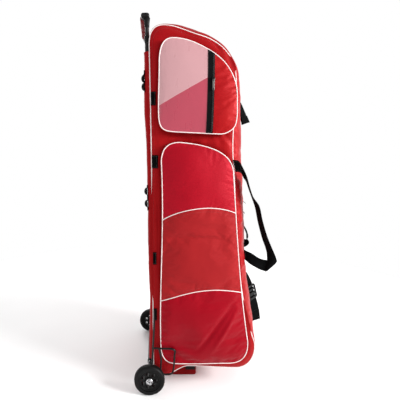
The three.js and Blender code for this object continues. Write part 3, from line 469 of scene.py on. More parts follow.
def direction(line, closed=False):
    """Unit vectors along a line."""
    return unit(np.roll(line, -1, 0) - np.roll(line, 1, 0) if closed else np.gradient(line, axis=0))


def outward(line, closed=True):
    """Unit normals of a clockwise line, pointing away from what it goes round."""
    run = direction(line, closed)
    return np.stack([-run[:, 1], run[:, 0]], 1)


def distance_to(loop, x, z):
    """Shortest way from points to a closed line of close points."""
    flat = np.stack([np.ravel(x), np.ravel(z)], 1)
    found = np.empty(len(flat))
    for k in range(0, len(flat), DISTANCE_BATCH):
        batch = slice(k, k + DISTANCE_BATCH)
        found[batch] = np.sqrt(((flat[batch, None] - loop) ** 2).sum(-1).min(1))
    return found.reshape(np.shape(x))


def inside(loop, x, z):
    """Marks the points that lie inside a closed line."""
    after = np.roll(loop, -1, 0)
    hits = np.zeros(np.shape(x), int)
    for (ax, az), (bx, bz) in zip(loop, after):
        crosses = (az > z) != (bz > z)
        place = ax + (bx - ax) * (z - az) / np.where(bz == az, 1e-9, bz - az)
        hits += crosses & (x < place)
    return hits % 2 == 1


def smooth(low, high, value):
    """An even step from 0 to 1 between two values."""
    t = np.clip((value - low) / (high - low), 0, 1)
    return t * t * (3 - 2 * t)


def ripple(points, size, seed):
    """Smooth noise of about -1 to 1 at points, with features of a given size."""
    shift = Vector((seed * 7.3, seed * 3.1, seed * 5.7))
    flat = np.asarray(points, float).reshape(-1, 3) / np.array(size)
    found = np.array([noise.noise(Vector(p) + shift) for p in flat])
    return found.reshape(np.shape(points)[:-1])


def wrinkles(points, cloth, seed=0):
    """Height of a cloth's wrinkles at points."""
    return sum(height * ripple(points, size, own + seed) for height, size, own in WRINKLES[cloth])


def fold_relief(folds, x, z):
    """Height that a table of folds adds at points, each fading towards its ends."""
    relief = np.zeros(np.shape(x))
    for start, end, width, depth in folds:
        run = np.subtract(end, start).astype(float)
        length = np.hypot(*run)
        run /= length
        dx, dz = x - start[0], z - start[1]
        along = np.clip((dx * run[0] + dz * run[1]) / length, 0, 1)
        aside = dx * run[1] - dz * run[0]
        relief -= depth * np.sin(np.pi * along) ** 0.8 * np.exp(-((aside / width) ** 2))
    return relief


outline, outline_ends = walk(OUTLINE_START, OUTLINE, 5)
outline_loop = outline[:-1]
back_line = outline[:outline_ends["back"] + 1]
front_line = outline[outline_ends["back"]:outline_ends["toe corner"] + 1]
bottom_line = outline[outline_ends["toe corner"]:]
pocket_lines = {"upper": walk(UPPER_START, UPPER_POCKET, 4), "lower": walk(LOWER_START, LOWER_POCKET, 4)}
pocket_loops = {name: line[:-1] for name, (line, _) in pocket_lines.items()}


# The body's cloth
def back_x(z):
    return np.interp(z, back_line[:, 1], back_line[:, 0])


def tube_x(z):
    """X of the tubes' axes at a height."""
    return TUBE_FOOT_X - math.tan(LEAN) * (z - FOOT_TOP)


def flat_share(y):
    """1 in the middle of the back, where the cloth lies flat on the trolley, and 0 at its seams."""
    return 1 - smooth(FLAT_HALF, BAND_HALF, np.abs(y))


def clear_of_tubes(x, y, z):
    """X of the cloth, kept in front of the tubes."""
    share = flat_share(y)
    return x * (1 - share) + np.maximum(x, tube_x(z) + TUBE_CLEAR) * share


def front_rises():
    """How far the front stands out at each point of its line."""
    shares, rises = np.array(CROWN).T
    along = steps_along(front_line) / length_of(front_line)
    after = np.clip(np.searchsorted(shares, along), 1, len(shares) - 1)
    blend = smooth(shares[after - 1], shares[after], along)
    return rises[after - 1] * (1 - blend) + rises[after] * blend


front_normal = outward(front_line, closed=False)
front_rise = front_rises()


def front_grid(across, off=0.0):
    """Points of the front cloth, a row for each point of the front line and a column for each Y."""
    across = np.asarray(across, float)
    round_off = np.sqrt(np.clip(1 - (across / BAND_HALF) ** 2, 0, None))
    rise = front_rise[:, None] * round_off + off
    x, z = np.moveaxis(front_line[:, None] + front_normal[:, None] * rise[..., None], -1, 0)
    return xyz(clear_of_tubes(x, across, z), across, z)


def front_x(z, y):
    """X of the front cloth, below its shoulder."""
    above = 12
    column = front_grid([y])[outline_ends["shoulder"] - outline_ends["back"] - above:, 0]
    return np.interp(z, column[::-1, 2], column[::-1, 0])


def seam_roll(x, z):
    """Share of the near panel's puff over its seam at points."""
    return sum(smooth(*start, z) * (1 - smooth(*stop, z)) * (np.sign(x) == end)
               for end, start, stop in SEAM_ROLLS)


def under_pockets(x, z):
    """Marks the points of the near panel that a pocket covers."""
    return inside(pocket_loops["upper"], x, z) | inside(pocket_loops["lower"], x, z)


def near_relief(x, z):
    """How far the near side panel swells between its seams and the pockets."""
    edge = distance_to(outline_loop, x, z)
    pocket = np.minimum(*(distance_to(loop, x, z) for loop in pocket_loops.values()))
    dome = NEAR_DOME * (1 - np.exp(-edge / DOME_REACH)) * (1 - np.exp(-pocket / DOME_REACH))
    swell = dome + wrinkles(xyz(x, 0, z), "near panel") + fold_relief(PANEL_FOLDS, x, z)
    share, heights, places = CALM_AT_RACK
    calm = 1 - share * (1 - smooth(*heights, z)) * (1 - smooth(*places, x))
    seam = 1 - np.exp(-edge / SEAM_REACH)
    inward = np.where(inside(outline_loop, x, z), edge, -edge) + ROLL_OUT
    roll = ROLL_LIFT * seam_roll(x, z) * np.exp(-np.clip(inward, 0, None) / SEAM_REACH)
    return ~under_pockets(x, z) * calm * seam * swell + roll


def far_relief(x, z, share):
    """How far the far side panel swells; share is 1 at its edge and 0 at its spine."""
    shares, rises = np.array(FAR_BULGE).T
    seam = 1 - np.exp(-distance_to(outline_loop, x, z) / FAR_SEAM_REACH)
    swell = wrinkles(xyz(x, 0, z), "far panel") + fold_relief(FAR_FOLDS, x, z)
    return np.interp(share, shares, rises) + seam * swell


def proud(x, z, puff=0.0):
    """How far a pocket stands off the panel, pressed in where the wire rack lies on it."""
    at_x, at_z, reach, share = RACK_DENT
    away = (x - at_x) ** 2 + (z - at_z) ** 2
    return (POCKET_RIM + puff) * (1 - share * np.exp(-away / (2 * reach**2)))


def rim_lean(name, loop):
    """How far a pocket's rim leans out over its foot, at the front of the bag but not below."""
    return RIM_LEAN[name] * smooth(*LEAN_FROM, loop[:, 0]) * smooth(*LEAN_FACING, outward(loop)[:, 1])


def rim_loop(name):
    """The closed line of a pocket's rim."""
    loop = pocket_loops[name]
    return loop + rim_lean(name, loop)[:, None] * outward(loop)


def relaxed(values, rounds):
    """A grid of values evened out inside its edges."""
    values = values.copy()
    for _ in range(rounds):
        values[1:-1, 1:-1] = (values[:-2, 1:-1] + values[2:, 1:-1] + values[1:-1, :-2] + values[1:-1, 2:]) / 4
    return values


def face_y(loop, x, z):
    """Y of a pocket's face, crowned off its rim."""
    puff = POCKET_PUFF * (1 - np.exp(-distance_to(loop, x, z) / PUFF_REACH))
    if puff.ndim == 2:
        puff = relaxed(puff, PUFF_ROUNDS)
    return -(SIDE_FACE + proud(x, z, puff))


# Meshes
def grid_normals(grid):
    along = np.gradient(grid, axis=0)
    across = np.gradient(grid, axis=1)
    normal = np.cross(along, across)
    size = np.linalg.norm(normal, axis=-1, keepdims=True)
    return normal / np.where(size < 1e-9, 1, size)


def side_of(grid, point):
    """1 where a grid's normals point to the side of it that a point lies on, else -1."""
    middle = (grid.shape[0] // 2, grid.shape[1] // 2)
    return 1 if np.dot(np.subtract(point, grid[middle]), grid_normals(grid)[middle]) > 0 else -1


def grid_quads(rows, columns, wrap_rows=False, wrap_columns=False):
    i, j = np.meshgrid(
        np.arange(rows if wrap_rows else rows - 1),
        np.arange(columns if wrap_columns else columns - 1), indexing="ij")
    down, right = (i + 1) % rows, (j + 1) % columns
    corners = (i * columns + j, down * columns + j, down * columns + right, i * columns + right)
    return np.stack(corners, -1).reshape(-1, 4)


def grid_uv(grid):
    """Flat places of a grid's points, from the lengths of its middle row and column."""
    across = steps_along(grid[grid.shape[0] // 2])
    along = steps_along(grid[:, grid.shape[1] // 2])
    return np.stack(np.meshgrid(across, along), -1)


class Piece:
    """Collects surfaces, in millimetres, into one object that rides on a body."""

    def __init__(self, name, *finishes):
        self.name = name
        self.finishes = finishes
        self.points = []
        self.uv = []
        self.faces = []
        self.kinds = []
        self.count = 0

    def add(self, points, faces, uv=None, finish=0):
        points = np.asarray(points, float).reshape(-1, 3)
        if uv is None:
            uv = np.stack([points[:, 0] + points[:, 1], points[:, 2]], 1)
        self.points.append(points)
        self.uv.append(np.asarray(uv, float).reshape(-1, 2))
        self.faces += [[k + self.count for k in face] for face in faces]
        self.kinds += [finish] * len(faces)
        self.count += len(points)

    def rings(self, grid, closed=False, finish=0):
        """A skin over rings of points; closed joins the last ring to the first."""
        quads = grid_quads(*grid.shape[:2], closed, True)
        self.add(grid, quads.tolist(), grid_uv(grid), finish)

    def capped(self, grid, uv=None):
        """A bar through rings of points, shut at both ends."""
        rows, columns = grid.shape[:2]
        faces = grid_quads(rows, columns, wrap_columns=True).tolist()
        faces += [list(range(columns)), list(range((rows - 1) * columns, rows * columns))]
        self.add(grid, faces, grid_uv(grid) if uv is None else uv)

    def shell(self, outer, inner, uv=None, wrap=False, rims=(0, -1)):
        """Cloth between two grids, shut along some rows, and at its ends unless it goes all the way round."""
        rows, columns = outer.shape[:2]
        size = rows * columns
        index = np.arange(size).reshape(rows, columns)
        borders = [index[rim] for rim in rims]
        if wrap:
            borders = [np.append(border, border[0]) for border in borders]
        else:
            borders += [index[:, 0], index[:, -1]]
        quads = grid_quads(rows, columns, wrap_columns=wrap)
        faces = [*quads.tolist(), *(quads[:, ::-1] + size).tolist()]
        for border in borders:
            faces += np.stack([border[:-1], border[1:], border[1:] + size, border[:-1] + size], 1).tolist()
        uv = (grid_uv(outer) if uv is None else uv).reshape(-1, 2)
        points = np.concatenate([outer.reshape(-1, 3), inner.reshape(-1, 3)])
        self.add(points, faces, np.concatenate([uv, uv]))

    def sheet(self, grid, thickness, toward, uv=None):
        """Cloth of even thickness behind a grid; toward is a point on its inner side."""
        self.shell(grid, grid + thickness * side_of(grid, toward) * grid_normals(grid), uv)

    def tube(self, path, radius, sides=12, closed=False):
        """A round cord or bar along a path that stays square to Y."""
        run = direction(path, closed)
        side = unit(np.cross(run, (0, 1, 0)))
        up = np.cross(side, run)
        angles = full_turn(sides)[:, None]
        rings = path[:, None] + radius * (np.cos(angles) * side[:, None] + np.sin(angles) * up[:, None])
        if closed:
            self.rings(rings, closed=True)
        else:
            self.capped(rings)

    def lathe(self, profile, corner, sides, place, shut=False, finish=0):
        """A body turned from a profile, put in its place by a function."""
        profile = soften(profile, corner)
        if shut:
            profile = np.vstack([profile, profile[:1]])
        self.rings(place(turned(profile, sides)), finish=finish)

    def block(self, size, radius, segments, place, finish=0):
        """A box with rounded edges, put in its place by a function."""
        points, faces = rounded_box(size, radius, segments)
        self.add(place(points), faces, finish=finish)

    def make(self, body, *nodes, slot, sharp=50):
        """Makes the object that rides on a body and stands for CAD nodes; edges past an angle stay sharp."""
        mesh = bpy.data.meshes.new(self.name)
        mesh.from_pydata((np.concatenate(self.points) * MM).tolist(), [], self.faces)
        for finish in self.finishes:
            mesh.materials.append(finish)
        mesh.polygons.foreach_set("material_index", self.kinds)
        corners = np.zeros(len(mesh.loops), int)
        mesh.loops.foreach_get("vertex_index", corners)
        layer = mesh.uv_layers.new(name="flat")
        layer.data.foreach_set("uv", (np.concatenate(self.uv) * MM)[corners].ravel())
        shape = bmesh.new()
        shape.from_mesh(mesh)
        bmesh.ops.recalc_face_normals(shape, faces=shape.faces)
        shape.to_mesh(mesh)
        shape.free()
        mesh.shade_smooth()
        mesh.set_sharp_from_angle(angle=math.radians(sharp))
        piece = bpy.data.objects.new(self.name, mesh)
        bpy.context.scene.collection.objects.link(piece)
        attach(piece, body)
        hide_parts(*nodes)
        return piece


def drain(shape):
    """Points and faces of a bmesh, which is then freed."""
    shape.verts.index_update()
    points = np.array([v.co for v in shape.verts])
    faces = [[v.index for v in face.verts] for face in shape.faces]
    shape.free()
    return points, faces


def rounded_box(size, radius, segments):
    """Points and faces of a box with rounded edges about the origin."""
    shape = bmesh.new()
    bmesh.ops.create_cube(shape, size=1)
    bmesh.ops.scale(shape, vec=size, verts=shape.verts)
    bmesh.ops.bevel(shape, geom=shape.edges[:], offset=radius, segments=segments, profile=0.5, affect="EDGES")
    return drain(shape)


def cut_plate(lines, half, bevel):
    """Points and faces of a flat plate about Z, from its outline and its holes, with rounded edges."""
    curve = bpy.data.curves.new("plate", "CURVE")
    curve.dimensions = "2D"
    curve.fill_mode = "BOTH"
    curve.extrude = half - bevel
    curve.bevel_depth = bevel
    curve.bevel_resolution = 1
    curve.offset = -bevel
    for line in lines:
        ring = curve.splines.new("POLY")
        ring.points.add(len(line) - 1)
        ring.use_cyclic_u = True
        for point, (x, y) in zip(ring.points, line):
            point.co = (x, y, 0, 1)
    carrier = bpy.data.objects.new("plate", curve)
    bpy.context.scene.collection.objects.link(carrier)
    bpy.context.view_layer.update()
    mesh = bpy.data.meshes.new_from_object(carrier.evaluated_get(bpy.context.evaluated_depsgraph_get()))
    shape = bmesh.new()
    shape.from_mesh(mesh)
    bmesh.ops.remove_doubles(shape, verts=shape.verts, dist=1e-3)
    bpy.data.objects.remove(carrier)
    bpy.data.curves.remove(curve)
    bpy.data.meshes.remove(mesh)
    return drain(shape)


def circle(radius, sides, at=(0, 0), start=0.0):
    angles = start + full_turn(sides)
    return np.stack([at[0] + radius * np.cos(angles), at[1] + radius * np.sin(angles)], 1)


def round_rectangle(width, length, corner, at=(0, 0), steps=5):
    points = []
    for k, (sx, sy) in enumerate(((1, 1), (-1, 1), (-1, -1), (1, -1))):
        centre = (at[0] + sx * (width / 2 - corner), at[1] + sy * (length / 2 - corner))
        angles = np.linspace(k * np.pi / 2, (k + 1) * np.pi / 2, steps)
        points.append(np.stack([centre[0] + corner * np.cos(angles), centre[1] + corner * np.sin(angles)], 1))
    return np.vstack(points)


def turned(profile, sides):
    """Rings about Z from a profile of radius and height."""
    radius, height = np.asarray(profile, float).T[..., None]
    angles = full_turn(sides)
    return xyz(radius * np.cos(angles), radius * np.sin(angles), height)


def soften(profile, radius):
    """A profile with each inner corner cut by a small chamfer."""
    profile = np.asarray(profile, float)
    points = [profile[0]]
    for before, here, after in zip(profile, profile[1:], profile[2:]):
        for other in (before, after):
            gap = other - here
            points.append(here + gap * min(0.4, radius / np.hypot(*gap)))
    return np.array([*points, profile[-1]])


def blob(centre, radii):
    """A rounded bead of metal."""
    tilt = np.linspace(0.02, np.pi - 0.02, 8)[:, None]
    turn = full_turn(12)
    return np.array(centre) + np.array(radii) * xyz(
        np.sin(tilt) * np.cos(turn), np.sin(tilt) * np.sin(turn), np.cos(tilt))


def moved(x, y, z):
    """A function that moves points."""
    return lambda points: points + np.array([x, y, z])


def on_trolley(points):
    """Points measured along the tubes from the top of the foot, put in the bag's frame."""
    x, y, z = np.moveaxis(np.asarray(points, float), -1, 0)
    c, s = math.cos(LEAN), math.sin(LEAN)
    return xyz(TUBE_FOOT_X + x * c - z * s, y, FOOT_TOP + x * s + z * c)


def trolley_place(x, y, z):
    """A function that moves points along the tubes, and puts them in the bag's frame."""
    return lambda points: on_trolley(points + np.array([x, y, z]))


def axle_place(y=0, side=1):
    """A function that puts points made about Z round the axle, at a distance from the bag's middle."""
    return lambda points: xyz(points[..., 0] + AXLE[0], side * (points[..., 2] + y), points[..., 1] + AXLE[1])


def frame_place(seat, side, along, out):
    """A function that puts points made at the origin at a seat, with their axes along three ways."""
    return lambda points: seat + points[..., :1] * side + points[..., 1:2] * along + points[..., 2:] * out


def spline(points, steps):
    """A centripetal curve through points, with as many steps to each span."""
    points = np.asarray(points, float)
    padded = np.vstack([2 * points[0] - points[1], points, 2 * points[-1] - points[-2]])
    found = []
    t = np.linspace(0, 1, steps, endpoint=False)[:, None]
    for p0, p1, p2, p3 in zip(padded, padded[1:], padded[2:], padded[3:]):
        d0, d1, d2 = (np.linalg.norm(b - a) ** 0.5 for a, b in ((p0, p1), (p1, p2), (p2, p3)))
        m1 = d1 * ((p1 - p0) / d0 - (p2 - p0) / (d0 + d1) + (p2 - p1) / d1)
        m2 = d1 * ((p2 - p1) / d1 - (p3 - p1) / (d1 + d2) + (p3 - p2) / d2)
        found.append(p1 + m1 * t + (3 * (p2 - p1) - 2 * m1 - m2) * t**2 + (2 * (p1 - p2) + m1 + m2) * t**3)
    return np.vstack([*found, points[-1:]])


def stitches(piece, path, out, size=STITCH, finish=1):
    """A row of short raised threads along a line on cloth; out is the way off the cloth."""
    pitch, length = size
    at = respace(path, max(2, round(length_of(path) / pitch)))
    run = direction(at)
    off = np.broadcast_to(np.asarray(out, float), at.shape)
    side = unit(np.cross(run, off))
    shape = ((-1, -1, 0), (-1, 1, 0), (1, 1, 0), (1, -1, 0),
             (-0.6, -0.5, 1), (-0.6, 0.5, 1), (0.6, 0.5, 1), (0.6, -0.5, 1))
    corners = [at + a * length / 2 * run + b * 0.5 * side + (0.7 * c - 0.2) * off for a, b, c in shape]
    box = np.array([[0, 1, 2, 3], [7, 6, 5, 4], [0, 4, 5, 1], [1, 5, 6, 2], [2, 6, 7, 3], [3, 7, 4, 0]])
    faces = (box[None] + 8 * np.arange(len(at))[:, None, None]).reshape(-1, 4)
    piece.add(np.stack(corners, 1), faces.tolist(), finish=finish)


def settle(grid, pinned, toward, name, wrap=False):
    """Lets cloth that is cut a little too large billow and wrinkle between the seams that hold it."""
    slack, pressure, cap = SETTLING[name]
    rows, columns = grid.shape[:2]
    quads = grid_quads(rows, columns, wrap_columns=wrap)
    if side_of(grid, toward) > 0:
        quads = quads[:, ::-1]
    mesh = bpy.data.meshes.new("settling")
    mesh.from_pydata((grid.reshape(-1, 3) * MM).tolist(), [], quads.tolist())
    sheet = bpy.data.objects.new("settling", mesh)
    scene = bpy.context.scene
    scene.collection.objects.link(sheet)
    sheet.vertex_groups.new(name="seams").add(np.flatnonzero(pinned).tolist(), 1.0, "REPLACE")
    cloth = sheet.modifiers.new("cloth", "CLOTH")
    cloth.point_cache.frame_start = 1
    cloth.point_cache.frame_end = SETTLE_FRAMES
    cloth.settings.vertex_group_mass = "seams"
    cloth.settings.shrink_min = -slack
    cloth.settings.use_pressure = True
    cloth.settings.uniform_pressure_force = pressure
    cloth.settings.effector_weights.gravity = 0.0
    cloth.settings.air_damping = AIR_DAMPING
    cloth.collision_settings.use_collision = False
    for step in range(1, SETTLE_FRAMES + 1):
        scene.frame_set(step)
    result = sheet.evaluated_get(bpy.context.evaluated_depsgraph_get())
    places = np.zeros(rows * columns * 3)
    result.data.vertices.foreach_get("co", places)
    scene.frame_set(1)
    bpy.data.objects.remove(sheet)
    bpy.data.meshes.remove(mesh)
    moves = places.reshape(grid.shape) / MM - grid
    far = np.linalg.norm(moves, axis=-1, keepdims=True)
    return grid + moves * (cap * np.tanh(far / cap) / np.where(far < 1e-6, 1, far))


def edges_of(grid):
    """Marks the outermost points of a grid."""
    held = np.ones(grid.shape[:2], bool)
    held[1:-1, 1:-1] = False
    return held


# Finishes
class Finish:
    """A material whose colour, roughness and relief come from nodes."""

    def __init__(self, name, roughness, **values):
        self.material = bpy.data.materials.new(name)
        self.material.use_nodes = True
        self.tree = self.material.node_tree
        self.shader = self.tree.nodes["Principled BSDF"]
        self.normal = None
        self.shader.inputs["Roughness"].default_value = roughness
        for socket, value in values.items():
            self.shader.inputs[socket.replace("_", " ")].default_value = value

    def node(self, kind, **settings):
        made = self.tree.nodes.new("ShaderNode" + kind)
        for key, value in settings.items():
            setattr(made, key, value)
        return made

    def link(self, source, target):
        self.tree.links.new(source, target)

    def math(self, operation, first, second=None):
        made = self.node("Math", operation=operation)
        for socket, value in zip(made.inputs, (first, second)):
            if isinstance(value, bpy.types.NodeSocket):
                self.link(value, socket)
            elif value is not None:
                socket.default_value = value
        return made.outputs[0]

    def noise(self, size, detail=3.0, stretch=(1, 1, 1)):
        """Noise with features of a size in millimetres, fixed to the piece."""
        place = self.node("TexCoord").outputs["Object"]
        scale = self.node("Mapping")
        scale.inputs["Scale"].default_value = stretch
        texture = self.node("TexNoise")
        texture.inputs["Scale"].default_value = 1 / (size * MM)
        texture.inputs["Detail"].default_value = detail
        self.link(place, scale.inputs["Vector"])
        self.link(scale.outputs["Vector"], texture.inputs["Vector"])
        return texture.outputs["Fac"]

    def weave(self, across, along):
        """Crossing threads, a pitch each way in millimetres on the piece's flat plan."""
        split = self.node("SeparateXYZ")
        self.link(self.node("TexCoord").outputs["UV"], split.inputs[0])
        waves = []
        for axis, pitch in (("X", across), ("Y", along)):
            turn = self.math("MULTIPLY", split.outputs[axis], 2 * math.pi / (pitch * MM))
            waves.append(self.math("SINE", turn))
        return self.math("MULTIPLY", *waves)

    def ramp(self, factor, *stops):
        """Values or colours along a factor: pairs of place and colour."""
        made = self.node("ValToRGB")
        elements = made.color_ramp.elements
        while len(elements) < len(stops):
            elements.new(0.5)
        for element, (place, color) in zip(elements, stops):
            element.position = place
            element.color = (*color, 1) if len(color) == 3 else (color[0], color[0], color[0], 1)
        self.link(factor, made.inputs["Fac"])
        return made.outputs["Color"]

    def color(self, socket):
        self.link(socket, self.shader.inputs["Base Color"])
        return self

    def rough(self, factor, low, high):
        self.link(self.ramp(factor, (0.3, (low,)), (0.7, (high,))), self.shader.inputs["Roughness"])
        return self

    def bump(self, height, strength, depth):
        made = self.node("Bump")
        made.inputs["Strength"].default_value = strength
        made.inputs["Distance"].default_value = depth * MM
        self.link(height, made.inputs["Height"])
        if self.normal:
            self.link(self.normal, made.inputs["Normal"])
        self.normal = made.outputs["Normal"]
        self.link(self.normal, self.shader.inputs["Normal"])
        return self


def cloth_finish(name, dark, light, roughness, pitch, specular, tint):
    cloth = Finish(name, roughness, Sheen_Weight=0.04, Sheen_Roughness=0.4, Sheen_Tint=(*tint, 1),
                   Specular_IOR_Level=specular, Specular_Tint=(*tint, 1))
    cloth.color(cloth.ramp(cloth.noise(55, 4, (1, 1, 0.5)), (0.3, dark), (0.7, light)))
    cloth.rough(cloth.noise(9, 2), roughness - 0.05, roughness + 0.05)
    cloth.bump(cloth.noise(12, 2, (1, 1, 0.4)), 0.2, 0.3)
    cloth.bump(cloth.weave(pitch, pitch), 0.3, 0.12)
    return cloth.material


def plain_finish(name, dark, light, roughness, grain, **values):
    """Moulded or coated stuff: faint mottling, a fine grain and uneven gloss."""
    made = Finish(name, roughness, **values)
    made.color(made.ramp(made.noise(14, 4), (0.3, dark), (0.7, light)))
    made.rough(made.noise(6, 3), max(0.05, roughness - 0.07), roughness + 0.09)
    made.bump(made.noise(grain, 2), 0.15, 0.15)
    return made.material


def webbing_finish(name, dark, light, roughness):
    made = Finish(name, roughness, Specular_IOR_Level=0.03)
    made.color(made.ramp(made.weave(2.4, 1.7), (0.2, dark), (0.8, light)))
    made.rough(made.noise(8, 2), roughness - 0.08, roughness + 0.08)
    made.bump(made.weave(2.4, 1.7), 0.6, 0.35)
    return made.material


def vinyl_finish():
    """Hazy sheet in two tones that meet along a slanting line."""
    vinyl = Finish("hazy_vinyl", 0.32, Coat_Weight=0.35, Coat_Roughness=0.2, Specular_IOR_Level=0.5)
    (x0, z0), (x1, z1) = TONE_LINE
    split = vinyl.node("SeparateXYZ")
    vinyl.link(vinyl.node("TexCoord").outputs["Object"], split.inputs[0])
    rise = (z1 - z0) / (x1 - x0)
    base = vinyl.math("MULTIPLY", split.outputs["X"], rise)
    over = vinyl.math("SUBTRACT", vinyl.math("SUBTRACT", split.outputs["Z"], base), (z0 - rise * x0) * MM)
    place = vinyl.math("ADD", vinyl.math("MULTIPLY", over, 40.0), 0.5)
    haze = vinyl.math("MULTIPLY", vinyl.math("SUBTRACT", vinyl.noise(26, 3, (1, 1, 0.25)), 0.5), 0.05)
    tones = vinyl.ramp(
        vinyl.math("ADD", place, haze), (0.0, ROSE), (0.46, ROSE), (0.49, ROSE_EDGE), (0.52, PINK_EDGE),
        (0.58, PINK), (1.0, PINK))
    vinyl.color(tones)
    vinyl.rough(vinyl.noise(20, 3, (1, 1, 0.3)), 0.24, 0.42)
    vinyl.bump(vinyl.noise(70, 0, (1, 1, 0.3)), 0.1, 0.6)
    return vinyl.material


red_cloth = cloth_finish(
    "red_cloth", (0.24, 0.003, 0.005), (0.28, 0.005, 0.006), 0.48, 1.4, 0.5, (1, 0.08, 0.09))
face_cloth = cloth_finish(
    "face_cloth", (0.25, 0.008, 0.010), (0.28, 0.010, 0.012), 0.6, 1.2, 0.3, (1, 0.25, 0.26))
crimson_satin = cloth_finish(
    "crimson_satin", (0.22, 0.0025, 0.008), (0.25, 0.0035, 0.010), 0.42, 0.9, 0.45, (1, 0.03, 0.06))
crimson_gloss = cloth_finish(
    "crimson_gloss", (0.25, 0.002, 0.008), (0.28, 0.003, 0.010), 0.48, 0.9, 0.9, (1, 0.06, 0.1))
# The foot's cloth: the red cloth darkened to paint the shade that falls on the foot under the bag.
base_cloth_painted_shade = cloth_finish(
    "base_cloth_painted_shade", (0.13, 0.002, 0.003), (0.16, 0.003, 0.004), 0.6, 1.4, 0.2, (1, 0.1, 0.1))
red_thread = plain_finish("red_thread", (0.20, 0.003, 0.005), (0.26, 0.006, 0.008), 0.6, 1.0)
white_piping = plain_finish(
    "white_piping", (0.70, 0.61, 0.60), (0.78, 0.71, 0.69), 0.5, 2.0, Specular_IOR_Level=0.2)
hazy_vinyl = vinyl_finish()
black_webbing = webbing_finish("black_webbing", (0.002, 0.002, 0.002), (0.005, 0.005, 0.006), 0.85)
black_tape = webbing_finish("black_tape", (0.003, 0.003, 0.003), (0.008, 0.008, 0.009), 0.6)
grey_thread = plain_finish("grey_thread", (0.020, 0.020, 0.022), (0.045, 0.045, 0.048), 0.6, 1.0)
zip_coil = plain_finish("zip_coil", (0.010, 0.010, 0.011), (0.022, 0.022, 0.024), 0.35, 1.0)
black_plastic = plain_finish("black_plastic", *INK, 0.42, 1.2, Specular_IOR_Level=0.14)
black_metal = plain_finish("black_metal", *INK, 0.34, 0.8, Specular_IOR_Level=0.25)
black_rubber = plain_finish("black_rubber", *INK, 0.5, 1.6, Specular_IOR_Level=0.14)
silver_metal = plain_finish("silver_metal", (0.36, 0.36, 0.37), (0.50, 0.50, 0.51), 0.26, 1.0, Metallic=1.0)
pull_metal = plain_finish("pull_metal", (0.15, 0.15, 0.14), (0.22, 0.22, 0.21), 0.45, 1.0, Metallic=1.0)
red_grip = plain_finish(
    "red_grip", (0.13, 0.006, 0.008), (0.18, 0.010, 0.012), 0.6, 1.4, Specular_IOR_Level=0.15)


# Body panels
def front_panels():
    columns = np.arange(FRONT_COLUMNS)
    angle = np.pi / 2 + (math.asin(FRONT_SLIT / BAND_HALF) - np.pi / 2) * columns / columns[-1]
    fade = smooth(0, 5, columns) * smooth(0, 4, columns[-1] - columns)
    rows = np.arange(len(front_line))
    ends = (smooth(0, 8, rows) * smooth(0, 8, rows[::-1]))[:, None]
    for name, side in SIDES:
        grid = front_grid(side * BAND_HALF * np.sin(angle))
        normal = -side_of(grid, BAG_MIDDLE) * grid_normals(grid)
        gather = np.exp(-columns / 4.0) * wrinkles(grid, "front seam", side)
        relief = ends * (fade * wrinkles(grid, "front", side) + gather)
        grid = grid + normal * relief[..., None]
        sewn = edges_of(grid)
        for y, z, wide, tall in FRONT_SEWN:
            sewn |= (np.abs(grid[..., 1] - y) < wide) & (np.abs(grid[..., 2] - z) < tall)
        grid = settle(grid, sewn, BAG_MIDDLE, "front")
        piece = Piece(f"front_cloth_{name}", red_cloth, red_thread)
        piece.sheet(grid, CLOTH, BAG_MIDDLE)
        stitches(piece, grid[6:-6, 3] + normal[6:-6, 3] * 0.1, normal[120, 3])
        piece.make("bag", f"front_upper_{name}", f"front_lower_{name}", slot="red_cloth")


def back_panel():
    across = np.linspace(-BAND_HALF, BAND_HALF, BAND_COLUMNS)
    flat = flat_share(across)
    line = respace(back_line, BACK_ROWS)
    x = clear_of_tubes(line[:, :1], across, line[:, 1:])
    z = line[:, 1:] * (1 - flat) + np.maximum(line[:, 1:], FOOT_TOP + FOOT_CLEAR) * flat
    grid = xyz(x, across, z)
    loose = smooth(0, 40, np.abs(np.abs(across) - TUBE_Y)) * smooth(0, 30, BAND_HALF - np.abs(across))
    rows = np.arange(len(grid))
    ends = (smooth(0, 20, rows) * smooth(0, 14, rows[::-1]))[:, None]
    grid[..., 0] -= ends * np.clip(BACK_SWELL * loose + loose * wrinkles(grid, "back"), 0, None)
    sewn = edges_of(grid) | (np.abs(np.abs(grid[..., 1]) - TUBE_Y) < CASING_SEAM)
    grid = settle(grid, sewn, BAG_MIDDLE, "back")
    piece = Piece("back_cloth", red_cloth)
    piece.sheet(grid, CLOTH, BAG_MIDDLE)
    piece.make("bag", "back_panel", slot="red_cloth")


def bottom_panel():
    across = np.linspace(-BAND_HALF, BAND_HALF, BAND_COLUMNS)
    flat = flat_share(across)
    line = respace(bottom_line, BOTTOM_ROWS)
    rests = 1 - smooth(FOOT_BOX[0] / 2, bottom_line[0][0], line[:, :1])
    middle = line[:, 1:] * (1 - rests) + (FOOT_TOP + FOOT_CLEAR) * rests
    piece = Piece("bottom_cloth", red_cloth)
    piece.sheet(xyz(line[:, :1], across, line[:, 1:] * (1 - flat) + middle * flat), CLOTH, BAG_MIDDLE)
    piece.make("bag", "bottom_panel", slot="red_cloth")


def side_rings(name):
    """Rings of points from the seam of a side panel in to its spine, and the share of each ring."""
    x, low, high = FAR_SPINE
    line = respace_loop(outline_loop, SIDE_COLUMNS)
    edge = line - SEAM_TUCK * outward(line)
    if name == "near":
        edge += ROLL_OUT * seam_roll(line[:, 0], line[:, 1])[:, None] * outward(line)
    core = np.stack([np.full(len(edge), x), np.clip(edge[:, 1], low, high)], 1)
    share = (1 - np.linspace(0, 1, SIDE_RINGS) ** 1.1)[:, None, None]
    return core + (edge - core) * share, share[..., 0]


